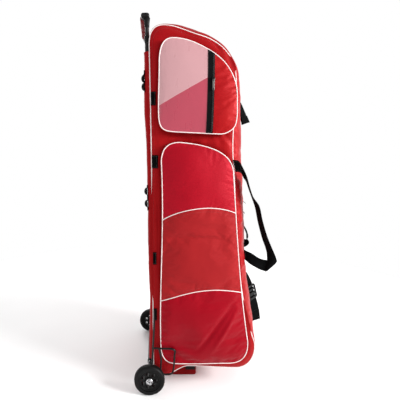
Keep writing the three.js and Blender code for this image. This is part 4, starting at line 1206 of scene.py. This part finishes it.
def side_panels():
    root_x, root_z, root_reach = CARRY_ROOT
    tab_x, tab_reach = TAB_MARGIN
    for name, side in SIDES:
        rings, share = side_rings(name)
        x, z = rings[..., 0], rings[..., 1]
        relief = near_relief(x, z) if name == "near" else far_relief(x, z, share + 0 * x)
        grid = xyz(x, side * (SIDE_FACE + relief), z)
        sewn = np.hypot(x - root_x, z - root_z) < root_reach
        sewn[[0, -1]] = True
        for tab_z, width in SIDE_TABS:
            sewn |= (np.abs(z - tab_z) < tab_reach) & (x < back_x(tab_z) + width + tab_x)
        if name == "near":
            sewn |= under_pockets(x, z) | ((x < RACK_CORNER[0]) & (z < RACK_CORNER[1]))
        grid = settle(grid, sewn, BAG_MIDDLE, f"{name} panel", wrap=True)
        piece = Piece(f"side_cloth_{name}", red_cloth, red_thread)
        piece.shell(grid, grid - np.array([0, side * CLOTH, 0]), grid[..., [0, 2]], wrap=True, rims=(0,))
        stitches(piece, np.vstack([grid[3], grid[3, :1]]), (0, side, 0))
        piece.make("bag", f"side_panel_{name}", slot="red_cloth")


def wandering(path, kind, share, seed=0):
    """A sewn path that strays a little, most of it across the seam."""
    return path + wrinkles(path, kind, seed)[:, None] * np.array([share, 1, share])


def cord(name, node, path, radius=PIPING_R, closed=True):
    """White piping along a path."""
    piece = Piece(name, white_piping)
    piece.tube(path, radius, closed=closed)
    piece.make("bag", node, slot="white_piping")


def side_pipings():
    line = respace_loop(outline_loop, PIPING_STEPS)
    for name, side in SIDES:
        path = xyz(line[:, 0], side * PIPING_Y, line[:, 1])
        cord(f"side_cord_{name}", f"side_piping_{name}", wandering(path, "side piping", 0.3, side))


# Pockets
def pocket_walls(name):
    """A pocket's wall, and the piping on its rim; gives a point behind its face."""
    columns, rows = WALL_STEPS
    loop = respace_loop(pocket_loops[name], columns)
    normal = outward(loop)
    rim = SIDE_FACE + proud(loop[:, 0], loop[:, 1])
    rise = np.linspace(0, 1, rows)[:, None]
    flare = WALL_FLARE[0] * np.sin(np.pi * rise) + WALL_FLARE[1] * (1 - rise) ** 3
    pucker = wrinkles(xyz(loop[:, 0], rim, loop[:, 1]), "pocket wall") * np.sin(np.pi * rise)
    lift = np.minimum(1, (rim - SIDE_FACE) / POCKET_RIM)
    lean = rim_lean(name, loop)
    out = (flare + pucker) * lift + lean * rise
    y = -(SIDE_FACE + GAP + (rim - SIDE_FACE - GAP) * rise)
    grid = xyz(loop[:, 0] + normal[:, 0] * out, y, loop[:, 1] + normal[:, 1] * out)
    wall = Piece(f"{name}_pocket_wall", red_cloth)
    wall.shell(grid, grid - CLOTH * xyz(normal[:, 0], 0, normal[:, 1]), wrap=True)
    wall.make("bag", f"{name}_pocket_gusset", slot="red_cloth")
    top = loop + lean[:, None] * normal
    path = xyz(top[:, 0], -rim, top[:, 1])
    cord(f"{name}_pocket_cord", f"{name}_pocket_piping", wandering(path, "pocket piping", 0.4))
    return grid.reshape(-1, 3).mean(0) + np.array([0, BEHIND_FACE, 0])


def pocket_edges(name):
    """The left, right, bottom and top lines of a pocket's face, just inside its rim."""
    loop = rim_loop(name)
    ends = pocket_lines[name][1]
    line = loop - FACE_INSET * outward(loop)
    line = np.vstack([line, line[:1]])
    left = line[:ends["left"] + 1]
    top = line[ends["left"]:ends["top"] + 1]
    right = line[ends["top"]:ends["right"] + 1][::-1]
    bottom = line[ends["right"]:ends["heel"] + 1][::-1]
    return left, right, bottom, top


def coons(left, right, bottom, top, columns, rows):
    """A grid of flat points blended from four edge lines, bottom row first."""
    left, right = (respace(line, rows)[:, None] for line in (left, right))
    bottom, top = (respace(line, columns)[None] for line in (bottom, top))
    u = np.linspace(0, 1, columns + 1)[None, :, None]
    v = np.linspace(0, 1, rows + 1)[:, None, None]
    corners = (left[0] * (1 - u) + right[0] * u) * (1 - v) + (left[-1] * (1 - u) + right[-1] * u) * v
    return left * (1 - u) + right * u + bottom * (1 - v) + top * v - corners


def face_grid(pocket, flat, seed):
    """A pocket face on a flat grid, with the puckers of its seams and its folds."""
    loop = rim_loop(pocket)
    x, z = flat[..., 0], flat[..., 1]
    away = distance_to(loop, x, z)
    points = xyz(x, 0, z)
    near, far = PUCKER_REACH
    pucker = np.exp(-away / far) * (1 - np.exp(-away / near)) * wrinkles(points, "face seam", seed)
    swell = FACE_SLACK[pocket] * wrinkles(points, "face", seed) + fold_relief(FACE_FOLDS, x, z)
    relief = pucker + (1 - np.exp(-away / FACE_REACH)) * swell
    return xyz(x, face_y(loop, x, z) - proud(x, z) / POCKET_RIM * relief, z)


def between(line, key, low, high):
    """The stretch of a line that runs upwards in one coordinate, between two values of it."""
    order = line if line[-1, key] > line[0, key] else line[::-1]
    other = 1 - key
    ends = [np.interp(value, order[:, key], order[:, other]) for value in (low, high)]
    kept = order[(order[:, key] > low + 0.5) & (order[:, key] < high - 0.5)]
    rows = np.zeros((len(kept) + 2, 2))
    rows[1:-1] = kept
    rows[0, key], rows[-1, key] = low, high
    rows[0, other], rows[-1, other] = ends
    return rows


def lower_pocket():
    behind = pocket_walls("lower")
    left, right, bottom, top = pocket_edges("lower")
    arcs = {}
    for name, (low, handles, high) in ARCS.items():
        start = (np.interp(low, left[:, 1], left[:, 0]), low)
        end = (np.interp(high, right[:, 1], right[:, 0]), high)
        arcs[name] = cubic(start, handles, end, 80)
    faces = {
        "bottom": (bottom, arcs["lower"], crimson_satin, "crimson_satin"),
        "middle": (arcs["lower"], arcs["upper"], face_cloth, "red_cloth"),
        "top": (arcs["upper"], top, crimson_gloss, "crimson_satin"),
    }
    for name, (low, high, finish, slot) in faces.items():
        sides = [between(side, 1, low[k][1], high[k][1]) for side, k in ((left, 0), (right, -1))]
        flat = coons(*sides, low, high, 76, 70)
        grid = face_grid("lower", flat, FACE_SEEDS[name])
        grid = settle(grid, edges_of(grid), behind, f"lower {name}")
        piece = Piece(f"lower_pocket_{name}_cloth", finish, red_thread)
        piece.sheet(grid, FACE_CLOTH, behind, flat)
        if name == "middle":
            for row in (3, -4):
                stitches(piece, grid[row], (0, -1, 0))
        piece.make("bag", f"lower_pocket_{name}", slot=slot)
    for name, arc in arcs.items():
        path = face_grid("lower", arc, FACE_SEEDS["middle"]) - np.array([0, 0.5, 0])
        cord(f"lower_pocket_cord_{name}", f"lower_pocket_arc_{name}", path, ARC_R, closed=False)


def zip_teeth(piece, path, out, side):
    """Interlocked coil teeth along a path, side being the way across the tape."""
    count = round(length_of(path) / TOOTH_PITCH)
    share = np.linspace(0, 1, len(out))
    off = np.stack([np.interp(np.linspace(0, 1, count + 1), share, out[:, k]) for k in range(3)], 1)
    points, faces = rounded_box(TOOTH, 0.5, 1)
    side = np.array(side, float)
    for k, (place, up) in enumerate(zip(respace(path, count), off)):
        seat = place + up * TOOTH_LIFT + side * (TOOTH_SHIFT if k % 2 else -TOOTH_SHIFT)
        piece.add(frame_place(seat, side, np.cross(up, side), up)(points), faces, finish=1)


def zip_pull(name, seat, out, side, node, lean=0.0):
    """A slider with its bail, and a pull tab that hangs from it, leaning off the cloth by an angle."""
    out, side = np.array(out, float), np.array(side, float)
    up = np.cross(side, out)
    if up[2] < 0:
        up = -up
    place = frame_place(seat, side, up, out)

    def hang(points, drop):
        x, y, z = np.moveaxis(points + np.array([0, -drop, PULL_LIFT]), -1, 0)
        return place(xyz(x, y * math.cos(lean), z - y * math.sin(lean)))

    piece = Piece(name, black_metal, pull_metal, black_plastic)
    body, faces = rounded_box(SLIDER, 1.6, 3)
    body[:, 0] *= 0.8 + 0.2 * smooth(-6, 6, body[:, 1])
    piece.add(place(body + np.array([0, 0, 2.6])), faces)
    arch = np.linspace(0, np.pi, 13)[:, None]
    across, along = BAIL_R * np.sin(full_turn(8)), BAIL_R * np.cos(full_turn(8))
    bail = xyz(across, (BAIL_SPAN + along) * np.cos(arch), SLIDER[2] + (BAIL_RISE + along) * np.sin(arch))
    piece.capped(place(bail))
    tab_drop, tip_drop = PULL_DROPS
    lines = (round_rectangle(*PULL_TAB, 2.4), round_rectangle(*PULL_EYE, 1.3, (0, 12.4)))
    tab, faces = cut_plate(lines, 0.9, 0.35)
    piece.add(hang(tab, tab_drop), faces, finish=1)
    piece.block(PULL_TIP, 0.8, 2, lambda points: hang(points, tip_drop), finish=2)
    piece.make("bag", node, slot="silver_metal")


def upper_pocket():
    behind = pocket_walls("upper")
    left, right, bottom, top = pocket_edges("upper")
    low_x, high_x, half = POCKET_ZIP

    def zip_edge(shift):
        places = ((low_x + shift, bottom), (high_x + shift, top))
        return np.array([(x, np.interp(x, line[:, 0], line[:, 1])) for x, line in places])

    def patch(a, b, columns):
        foot = between(bottom, 0, a[0][0], b[0][0])
        head = between(top, 0, a[-1][0], b[-1][0])
        return coons(a, b, foot, head, columns, 80)

    panels = {
        "window": (patch(left, zip_edge(ZIP_LAP - half), 64), hazy_vinyl, "hazy_vinyl", 1.0),
        "strip": (patch(zip_edge(half - ZIP_LAP), right, 36), red_cloth, "red_cloth", FACE_CLOTH),
    }
    for name, (flat, finish, slot, thickness) in panels.items():
        grid = face_grid("upper", flat, FACE_SEEDS["upper"])
        grid = settle(grid, edges_of(grid), behind, name)
        piece = Piece(f"upper_pocket_{name}_cloth", finish)
        piece.sheet(grid, thickness, behind, flat)
        piece.make("bag", f"upper_pocket_{name}", slot=slot)

    flat = patch(zip_edge(-half), zip_edge(half), 10)
    grid = face_grid("upper", flat, FACE_SEEDS["upper"])
    grid[..., 1] -= 0.9 + 0.4 * np.sin(np.linspace(0, np.pi, 11))
    tape = Piece("upper_pocket_zipper", black_tape, zip_coil)
    tape.sheet(grid, 1.2, behind, flat)
    coil = grid[:, COIL_COLUMN]
    out = (0.0, -1.0, 0.0)
    zip_teeth(tape, coil[2:-2], np.tile(out, (len(coil) - 4, 1)), (1, 0, 0))
    tape.make("bag", "upper_pocket_zip", slot="black_zip")
    seat = coil[np.argmin(np.abs(coil[:, 2] - POCKET_PULL_Z))]
    zip_pull("upper_pocket_slider", seat, out, (1, 0, 0), "upper_pocket_pull")


# Front zip
def front_zip():
    start = round(0.8 * (outline_ends["top corner"] - outline_ends["back"]))
    stop = outline_ends["front"] - outline_ends["back"]
    stop += round(0.8 * (outline_ends["toe corner"] - outline_ends["front"]))
    across = np.linspace(-FRONT_ZIP_HALF, FRONT_ZIP_HALF, 11)
    middle = front_grid([0.0], 1.6)[start:stop, 0]
    normal = unit(np.cross(np.gradient(middle, axis=0), (0, 1, 0)))
    if normal[80][0] < 0:
        normal = -normal
    crown = 0.5 * np.cos(across / FRONT_ZIP_HALF * np.pi / 2)
    grid = middle[:, None] + xyz(0, across, 0) + normal[:, None] * crown[:, None]
    piece = Piece("front_zipper", black_tape, zip_coil, grey_thread)
    piece.sheet(grid, 1.4, BAG_MIDDLE)
    zip_teeth(piece, grid[2:-2, 5], normal[2:-2], (0, 1, 0))
    for column in (1, 9):
        stitches(piece, grid[2:-2, column], normal[2:-2].mean(0), finish=2)
    piece.make("bag", "front_zip", slot="black_zip")
    for name, (z, lean) in FRONT_PULLS.items():
        row = np.argmin(np.abs(middle[:, 2] - z) + 1000 * (middle[:, 0] < 100))
        zip_pull(f"front_slider_{name}", middle[row] + 0.6 * normal[row], normal[row], (0, 1, 0),
                 f"front_zip_pull_{name}", math.radians(lean))


# Webbing
def strap_plan(wide, middle):
    """Flat places of a strap's points, from where they lie across it and along its middle."""
    return np.stack(np.broadcast_arrays(wide, steps_along(middle)[:, None]), -1)


def ribbon(piece, middle, across, width=STRAP_WIDTH):
    """A webbing strap with rounded edges along a path."""
    run = direction(middle)
    across = unit(across - (across * run).sum(1)[:, None] * run)
    thick = np.cross(run, across)
    w, h = width / 2, WEBBING / 2
    flats = np.linspace(-1, 1, 11) * (w - h)
    edge = np.linspace(-np.pi / 2, np.pi / 2, 5)[1:-1]
    section = [(a, h) for a in flats]
    section += [(w - h + h * math.cos(e), -h * math.sin(e)) for e in edge]
    section += [(a, -h) for a in flats[::-1]]
    section += [(-w + h - h * math.cos(e), h * math.sin(e)) for e in edge]
    wide, deep = np.array(section).T
    rings = middle[:, None] + wide[:, None] * across[:, None] + deep[:, None] * thick[:, None]
    piece.capped(rings, strap_plan(wide, middle))
    return across, thick


def edge_ribbon(piece, pairs):
    """A webbing strap between the two edge lines that pairs of points give."""
    one, two = (spline(pairs[:, k], 9) for k in (0, 1))
    middle = (one + two) / 2
    half = np.linalg.norm(one - two, axis=1)[:, None] / 2
    across = (one - two) / (2 * half)
    thick = unit(np.cross(np.gradient(middle, axis=0), across))
    h = WEBBING / 2
    flats = np.linspace(-1, 1, 11)
    section = [(a, 0, 1) for a in flats] + [(1, 0.7 * h, 0.7), (1, h, 0), (1, 0.7 * h, -0.7)]
    section += [(a, 0, -1) for a in flats[::-1]] + [(-1, -0.7 * h, -0.7), (-1, -h, 0), (-1, -0.7 * h, 0.7)]
    rings = np.stack([middle + (a * (half - h) + b) * across + c * h * thick for a, b, c in section], 1)
    piece.capped(rings, strap_plan([a * STRAP_WIDTH / 2 for a, _, _ in section], middle))
    return middle, across, thick, (2 * half[:-1, 0] * np.diff(steps_along(middle))).sum()


def sewn_box(piece, middle, across, thick):
    """Threads on both faces, round the box where a strap is sewn down."""
    half = STRAP_WIDTH / 2 - 4
    for side in (-1, 1):
        lift = thick * side * (WEBBING / 2 + 0.1)
        edges = [middle + sign * half * across + lift for sign in (-1, 1)]
        ends = [np.linspace(edges[0][k], edges[1][k], 12) for k in (0, -1)]
        for line in (*edges, *ends):
            stitches(piece, line, unit(lift[0]))


def carry_strap_near():
    turn = np.array([1, -1, 1])
    piece = Piece("carry_webbing_near", black_webbing, grey_thread)
    for table, sewn in ((CARRY_FALL, slice(1, 12)), (CARRY_RETURN, slice(-12, -1))):
        middle, across, thick, part = edge_ribbon(piece, np.array(table, float) * turn)
        sewn_box(piece, middle[sewn], across[sewn], thick[sewn])
    ends = np.array([CARRY_FALL[-1], CARRY_RETURN[0]], float).mean(0) * turn
    off = np.cross(unit(ends[0] - ends[1]), (0, 1, 0))
    angles = full_turn(12)[:, None]
    ring = FOLD_R * (np.cos(angles) * off + np.sin(angles) * np.array([0, 1, 0]))
    reach = np.linspace(-1, 1, 9)[:, None]
    narrow = np.sqrt(1.02 - reach**4)
    centre = ends.mean(0) + reach * (ends[0] - ends[1]) / 2
    piece.capped(centre[:, None] + narrow[:, None] * ring)
    made = piece.make("bag", "carry_strap_near", slot="black_webbing")


def twisted_path(rows, steps):
    """A path through the middles of a table, and the way of the width along it."""
    middle = spline([at for at, _ in rows], steps)
    turn = np.array([across for _, across in rows], float)
    place = np.linspace(0, len(rows) - 1, len(middle))
    return middle, np.stack([np.interp(place, np.arange(len(rows)), turn[:, k]) for k in range(3)], 1)


def hung_strap(names, middle, across, boxes, hem=None):
    """A strap sewn in boxes at both ends, with layers on both faces where its hem is folded."""
    name, node = names
    piece = Piece(name, black_webbing, grey_thread)
    across, thick = ribbon(piece, middle, across)
    for box in boxes:
        sewn_box(piece, middle[box], across[box], thick[box])
    length = length_of(middle)
    if hem:
        length += 2 * length_of(middle[hem])
        for face in (-1, 1):
            ribbon(piece, middle[hem] + face * WEBBING * thick[hem], across[hem])
    made = piece.make("bag", node, slot="black_webbing")
    return middle, across


def carry_strap_far():
    middle, across = twisted_path(FAR_CARRY, 9)
    boxes = (slice(1, 10), slice(-10, -1))
    hung_strap(("carry_webbing_far", "carry_strap_far"), middle, across, boxes)


def front_strap(name):
    """A loose strap on the front; gives its middle line and the way of its width."""
    rows = [((front_x(z, FRONT_STRAP_Y) + off, FRONT_STRAP_Y, z), way) for z, off, way in FRONT_STRAPS[name]]
    middle, across = twisted_path(rows, 10)
    names = (f"{name}_webbing", f"{name}_strap")
    boxes = (slice(1, 7), slice(-8, -1))
    return hung_strap(names, middle, across, boxes, slice(-8, None))


def buckle(middle, across):
    """A ladder buckle on the outer face of the lower strap."""
    row = np.argmin(np.abs(middle[:, 2] - BUCKLE_Z))
    run = unit(middle[row - 3] - middle[row + 3])
    side = unit(across[row] - np.dot(across[row], run) * run)
    out = np.cross(side, run)
    if out[0] - out[1] < 0:
        out = -out
    seat = middle[row] + out * (WEBBING / 2 + BUCKLE_LIFT)
    lines = [round_rectangle(*BUCKLE, 8, steps=7)]
    lines += [round_rectangle(37, 7.5, 2.4, (0, y)) for y in BUCKLE_SLOTS]
    points, faces = cut_plate(lines, 3.2, 1.3)
    points[:, 2] += 1.6 * (1 - smooth(8, 26, np.abs(points[:, 1])))
    piece = Piece("lower_strap_buckle", black_plastic)
    piece.add(frame_place(seat, side, run, out)(points), faces)
    piece.block(BUCKLE_BAR, 1.5, 3, frame_place(seat + 10 * run + 2.2 * out, side, run, out))
    piece.make("bag", "lower_buckle", slot="black_plastic")


def side_tabs():
    for name, side in SIDES:
        for k, (z, width) in enumerate(SIDE_TABS):
            left = back_x(z) + TAB_INSET
            x, rows = np.meshgrid(
                np.linspace(left, left + width + TAB_LAP, 9),
                np.linspace(z - TAB_HEIGHT / 2, z + TAB_HEIGHT / 2, 25))
            if name == "near":
                under = near_relief(x, rows)
            else:
                spine = FAR_SPINE[0]
                under = far_relief(x, rows, np.clip((spine - x) / (spine - left + TAB_INSET), 0, 1))
            level = TAB_SEAT + np.maximum(under, under.mean()) - 0.7 * smooth(0, 3, left + 3 - x)
            grid = xyz(x, side * (SIDE_FACE + level), rows)
            piece = Piece(f"side_tab_webbing_{name}_{k + 1}", black_webbing, grey_thread)
            piece.sheet(grid, WEBBING, (left, 0, z))
            for line in (grid[2], grid[22], grid[2:-2, 6]):
                stitches(piece, line, (0, side, 0), SMALL_STITCH)
            piece.make("bag", f"side_tab_{name}_{k + 1}", slot="black_webbing")


def lash_loops():
    turn = np.linspace(0, np.pi, 22)
    rise = np.concatenate([np.zeros(8), np.sin(turn), np.sin(turn), np.zeros(8)])
    for name, (low, high) in LASH_LOOPS.items():
        first, last = low - LASH_HALF, high + LASH_HALF
        z = np.concatenate([
            np.linspace(first - 10, first - 1, 8), low - LASH_HALF * np.cos(turn),
            high - LASH_HALF * np.cos(turn), np.linspace(last + 1, last + 10, 8)])
        middle = on_trolley(xyz(-(SLEEVE_R + LASH_SEAT) - LASH_RISE * rise, -TUBE_Y, z))
        piece = Piece(f"lash_loop_webbing_{name}", black_webbing, grey_thread)
        ribbon(piece, middle, xyz(-LASH_TWIST * rise, 1, 0), LASH_WIDTH)
        for at in (first - 5, (low + high) / 2, last + 5):
            line = middle[np.argmin(np.abs(z - at))] + xyz(-1.2, np.linspace(-9, 9, 9), 0)
            stitches(piece, line, (-1, 0, 0), SMALL_STITCH)
        piece.make("bag", f"lash_loop_{name}", slot="black_webbing")


# Trolley
def tube_sleeves():
    half = spline(CASING_SECTION, 4)
    full = np.vstack([half, half[-2::-1] * np.array([-1, 1])])
    round_part = 1 - smooth(14, CASING_SEAM, np.abs(full[:, 0]))
    z = np.linspace(*CASING_Z, CASING_ROWS)[:, None]
    billow = sum(rise * np.exp(-((z - at) / reach) ** 2) for at, reach, rise in CASING_BILLOWS)
    flare = CASING_FLARE * (1 - smooth(20, 270, z)) + billow
    ends = np.exp(-(z - z[0]) / 9) + np.exp(-(z[-1] - z) / 9)
    for name, side in SIDES:
        grid = xyz(full[:, 1], side * TUBE_Y + full[:, 0], z)
        crease = wrinkles(grid, "casing", side)
        grid[..., 0] -= round_part * flare
        grid[..., 0] -= round_part * np.clip(crease * (1 - ends) + 0.7 * ends, -0.6, 1.4)
        piece = Piece(f"tube_casing_{name}", red_cloth, red_thread)
        piece.sheet(on_trolley(grid), FACE_CLOTH, on_trolley([40, side * TUBE_Y, 660]))
        for column in (6, len(full) - 7):
            stitches(piece, on_trolley(grid[3:-3, column]), (-1, 0, 0))
        piece.make("bag", f"tube_sleeve_{name}", slot="red_cloth")


def trolley_tubes():
    for name, side in SIDES:
        place = trolley_place(0, side * TUBE_Y, 0)
        outer = Piece(f"outer_tube_steel_{name}", black_metal, black_plastic)
        outer.lathe(TUBE_WALL, 0.6, 40, place, shut=True)
        outer.lathe(TUBE_COLLAR, 0.9, 40, place, finish=1)
        outer.lathe(TUBE_SOCKET, 1.0, 40, place, finish=1)
        outer.make("bag", f"outer_tube_{name}", slot="black_metal", sharp=35)
        inner = Piece(f"inner_tube_steel_{name}", black_metal)
        inner.lathe(INNER_TUBE, 0.5, 40, place)
        inner.make("handle", f"inner_tube_{name}", slot="black_metal", sharp=35)


def handle_grip():
    depth, half, height = GRIP_SIZE
    rib_depth, rib_pitch, rib_reach = GRIP_RIBS
    along = np.linspace(-half, half, 90)[:, None]
    turn = full_turn(44)
    wide, tall = (np.sign(way) * np.abs(way) ** GRIP_SQUARED for way in (np.cos(turn), np.sin(turn)))
    fingers = 0.9 * np.cos(along / half * np.pi * GRIP_FINGERS)
    ends = 1 - 0.10 * smooth(half - 7, half, np.abs(along))
    below = np.clip(-np.sin(turn), 0, 1)
    rib = rib_depth * (np.abs(np.sin(along / rib_pitch)) > 0.75) * (np.abs(along) < rib_reach)
    x = GRIP_AT[0] + depth * wide * ends
    z = GRIP_AT[1] + (height * tall + below * fingers) * ends - rib * np.sign(tall)
    grip = Piece("handle_grip_sleeve", red_grip)
    grip.capped(on_trolley(xyz(x, along, z)))
    grip.make("handle", "handle_grip", slot="red_grip")


def handle_ends():
    for name, side in SIDES:
        piece = Piece(f"handle_fitting_{name}", black_plastic, black_metal)
        piece.block((28, 26.7, 16.7), 7.5, 6, trolley_place(-5, side * 94.65, 1211.65))
        piece.lathe(HANDLE_COLLAR, 0.8, 36, trolley_place(0, side * TUBE_Y, 0))
        mirror = np.array([1, side, 1])
        seat = trolley_place(-11, side * 107.6, 1210)
        piece.lathe(SCREW_HEAD, 0.3, 24, lambda head: seat(head[..., [0, 2, 1]] * mirror), finish=1)
        piece.block((4.4, 0.8, 0.9), 0.2, 1, trolley_place(-11, side * 109.2, 1210))
        piece.make("handle", f"handle_end_{name}", slot="black_plastic")


def foot():
    """Stiffened base under the bag, covered in cloth that is darkened to paint the shade under the bag."""
    piece = Piece("foot_cloth", base_cloth_painted_shade, red_thread)
    points, faces = rounded_box(FOOT_BOX, 7, 4)
    shape = bmesh.new()
    verts = [shape.verts.new(p) for p in points]
    for face in faces:
        shape.faces.new([verts[k] for k in face])
    bmesh.ops.subdivide_edges(shape, edges=shape.edges[:], cuts=5, use_grid_fill=True)
    points, faces = drain(shape)
    for axis, other, face in ((0, 1, 70), (1, 0, 104)):
        swell = (1 - (points[:, other] / (FOOT_BOX[other] / 2)) ** 2) * (1 - (points[:, 2] / 29) ** 2)
        on_face = np.sign(points[:, axis]) * (np.abs(points[:, axis]) > face)
        points[:, axis] += on_face * np.clip(swell, 0, 1) * FOOT_SWELL[axis]
    points[:, 2] += FOOT_BOX[2] / 2
    piece.add(points, faces)
    hem = round_rectangle(FOOT_BOX[0] + 0.6, FOOT_BOX[1] + 0.6, 8, steps=8)
    path = np.column_stack([hem, np.full(len(hem), 9.0)])
    stitches(piece, np.vstack([path, path[:1]]), (0, 0, 1))
    piece.make("bag", "base_foot", slot="red_cloth")


def axle_housing():
    """The tube that holds the axle behind the foot, and black plates at the foot's sides that paint shade
    under the bag.
    """
    housing = Piece("axle_housing", black_plastic)
    housing.lathe(AXLE_HOUSING, 1.2, 36, axle_place(), shut=True)
    for y in (-80, 0, 80):
        housing.block((20, 26, 12), 3, 3, moved(-82, y, AXLE[1] - 1))
    # Black plates at the top front of the foot's sides, put where shade falls between the foot and the bag's
    # bottom edge.
    for _, side in SIDES:
        housing.block((35, 3, 32), 1.2, 3, moved(53.5, side * 112.6, 41))
        for x in (42, 65):
            housing.rings(blob((x, side * 114, 33), (3.2, 1.4, 3.2)))
    housing.make("bag", "base_foot", slot="black_plastic")


# Running gear
def axle():
    piece = Piece("axle_steel", black_metal, silver_metal)
    piece.lathe(AXLE_BAR, 1.0, 32, axle_place())
    for y in WASHERS_Y:
        piece.lathe(WASHER, 0.3, 32, axle_place(y), finish=1)
    piece.make("bag", "axle", slot="black_metal", sharp=35)


def tyre(name, place):
    profile = [*HALF_TYRE, *((r, -h) for r, h in HALF_TYRE[::-1]), HALF_TYRE[0]]
    piece = Piece(f"tyre_rubber_{name}", black_rubber)
    piece.rings(place(turned(profile, 128)))
    piece.make(f"wheel_{name}", f"tyre_{name}", slot="black_rubber", sharp=40)


def wheel_hub(name, place):
    turns = full_turn(HUB_HOLES)
    holes = circle(HUB_HOLE_REACH, HUB_HOLES)
    lines = [circle(36.2, 96), circle(10.4, 36)]
    lines += [circle(HUB_HOLE_R, 28, at, turn) for at, turn in zip(holes, turns)]
    points, faces = cut_plate(lines, 6.4, 1.3)
    piece = Piece(f"wheel_hub_moulded_{name}", black_plastic)
    piece.add(place(points), faces)
    piece.lathe(HUB_RIM, 1.0, 96, place)
    piece.lathe(HUB_BOSS, 0.8, 48, place)
    for x, y in holes:
        piece.lathe(HUB_COLLAR, 0.6, 28, lambda rings: place(rings + np.array([x, y, 0])))
    piece.make(f"wheel_{name}", f"wheel_hub_{name}", slot="black_plastic", sharp=40)


def hub_cap(name, place):
    piece = Piece(f"hub_cap_chrome_{name}", silver_metal, black_plastic)
    piece.lathe(CAP_DOME, 0.5, 56, place)
    reach, lift = CAP_MARK_AT
    up = np.array([0, 0, 1])
    for turn in CAP_MARKS:
        out = np.array([math.cos(turn), math.sin(turn), 0])
        on_cap = frame_place(reach * out + lift * up, np.cross(up, out), out, up)
        piece.block((5.8, 2.8, 1.2), 0.5, 2, lambda mark: place(on_cap(mark)), finish=1)
    piece.lathe(CAP_DOT, 0.1, 24, place, finish=1)
    piece.make(f"wheel_{name}", f"hub_cap_{name}", slot="silver_metal", sharp=40)


def wheels():
    for name, side in SIDES:
        place = axle_place(WHEEL_Y, side)
        tyre(name, place)
        wheel_hub(name, place)
        hub_cap(name, place)


def racks():
    for name, side in SIDES:
        mirror = np.array([1, side, 1])
        top = (-79, SIDE_FACE + TAB_LIFT[name] + WEBBING + GAP + LEG_R, 288)
        piece = Piece(f"side_rack_wire_{name}", black_metal)
        piece.tube(spline([*RACK_LEG, top], 12) * mirror, LEG_R, 14)
        piece.tube(spline([(x, RACK_Y, z) for x, z in RACK_WIRE], 9) * mirror, WIRE_R, 14)
        piece.lathe(RACK_EYE, 0.8, 36, axle_place(side * RACK_Y))
        for x, z, size in RACK_WELDS:
            piece.rings(blob((x, side * RACK_Y, z), (size, size * 0.8, size * 1.1)))
        piece.rings(blob(top * mirror, (LEG_R, LEG_R, LEG_R)))
        piece.make("bag", f"side_rack_{name}", slot="black_metal", sharp=40)


# Floor, lights and camera
def stage():
    floor_mesh = bpy.data.meshes.new("floor")
    rim = circle(FLOOR_REACH, 96)
    floor_mesh.from_pydata([(x, y, 0) for x, y in rim.tolist()], [], [list(range(len(rim)))])
    floor = bpy.data.objects.new("floor", floor_mesh)
    bpy.context.scene.collection.objects.link(floor)
    pale = Finish("pale_floor", 0.9, Specular_IOR_Level=0.2)
    pale.color(pale.ramp(pale.noise(400, 2), (0.3, (0.90, 0.90, 0.90)), (0.7, (0.93, 0.93, 0.93))))
    floor_mesh.materials.append(pale.material)
    world = bpy.data.worlds.new("studio")
    world.use_nodes = True
    tree = world.node_tree
    sky = tree.nodes["Background"]
    place = tree.nodes.new("ShaderNodeTexCoord")
    split = tree.nodes.new("ShaderNodeSeparateXYZ")
    height = tree.nodes.new("ShaderNodeValToRGB")
    for element, (at, value) in zip((*height.color_ramp.elements, height.color_ramp.elements.new(0.5)), SKY):
        element.position = at
        element.color = (value, value, value, 1)
    tree.links.new(place.outputs["Generated"], split.inputs[0])
    tree.links.new(split.outputs["Z"], height.inputs["Fac"])
    tree.links.new(height.outputs["Color"], sky.inputs["Color"])
    bpy.context.scene.world = world
    for name, at, look, size, power in LIGHTS:
        data = bpy.data.lights.new(name, "AREA")
        data.shape = "DISK"
        data.size = size
        data.energy = power
        lamp = bpy.data.objects.new(name, data)
        lamp.location = at
        lamp.rotation_euler = (Vector(look) - Vector(at)).to_track_quat("-Z", "Y").to_euler()
        bpy.context.scene.collection.objects.link(lamp)


def camera():
    data = bpy.data.cameras.new("camera")
    data.lens = CAMERA_LENS
    data.sensor_width = 36
    data.shift_x = CAMERA_SHIFT
    data.clip_start = 0.05
    made = bpy.data.objects.new("camera", data)
    made.location = CAMERA_AT
    made.rotation_euler = (math.radians(90 - CAMERA_PITCH), 0, 0)
    bpy.context.scene.collection.objects.link(made)
    bpy.context.scene.camera = made
    bpy.context.scene.view_settings.view_transform = "Standard"


# The whole bag
camera()
stage()
front_panels()
back_panel()
bottom_panel()
side_panels()
side_pipings()
lower_pocket()
upper_pocket()
front_zip()
carry_strap_near()
carry_strap_far()
front_strap("upper")
buckle(*front_strap("lower"))
side_tabs()
lash_loops()
tube_sleeves()
trolley_tubes()
handle_grip()
handle_ends()
foot()
axle_housing()
axle()
wheels()
racks()
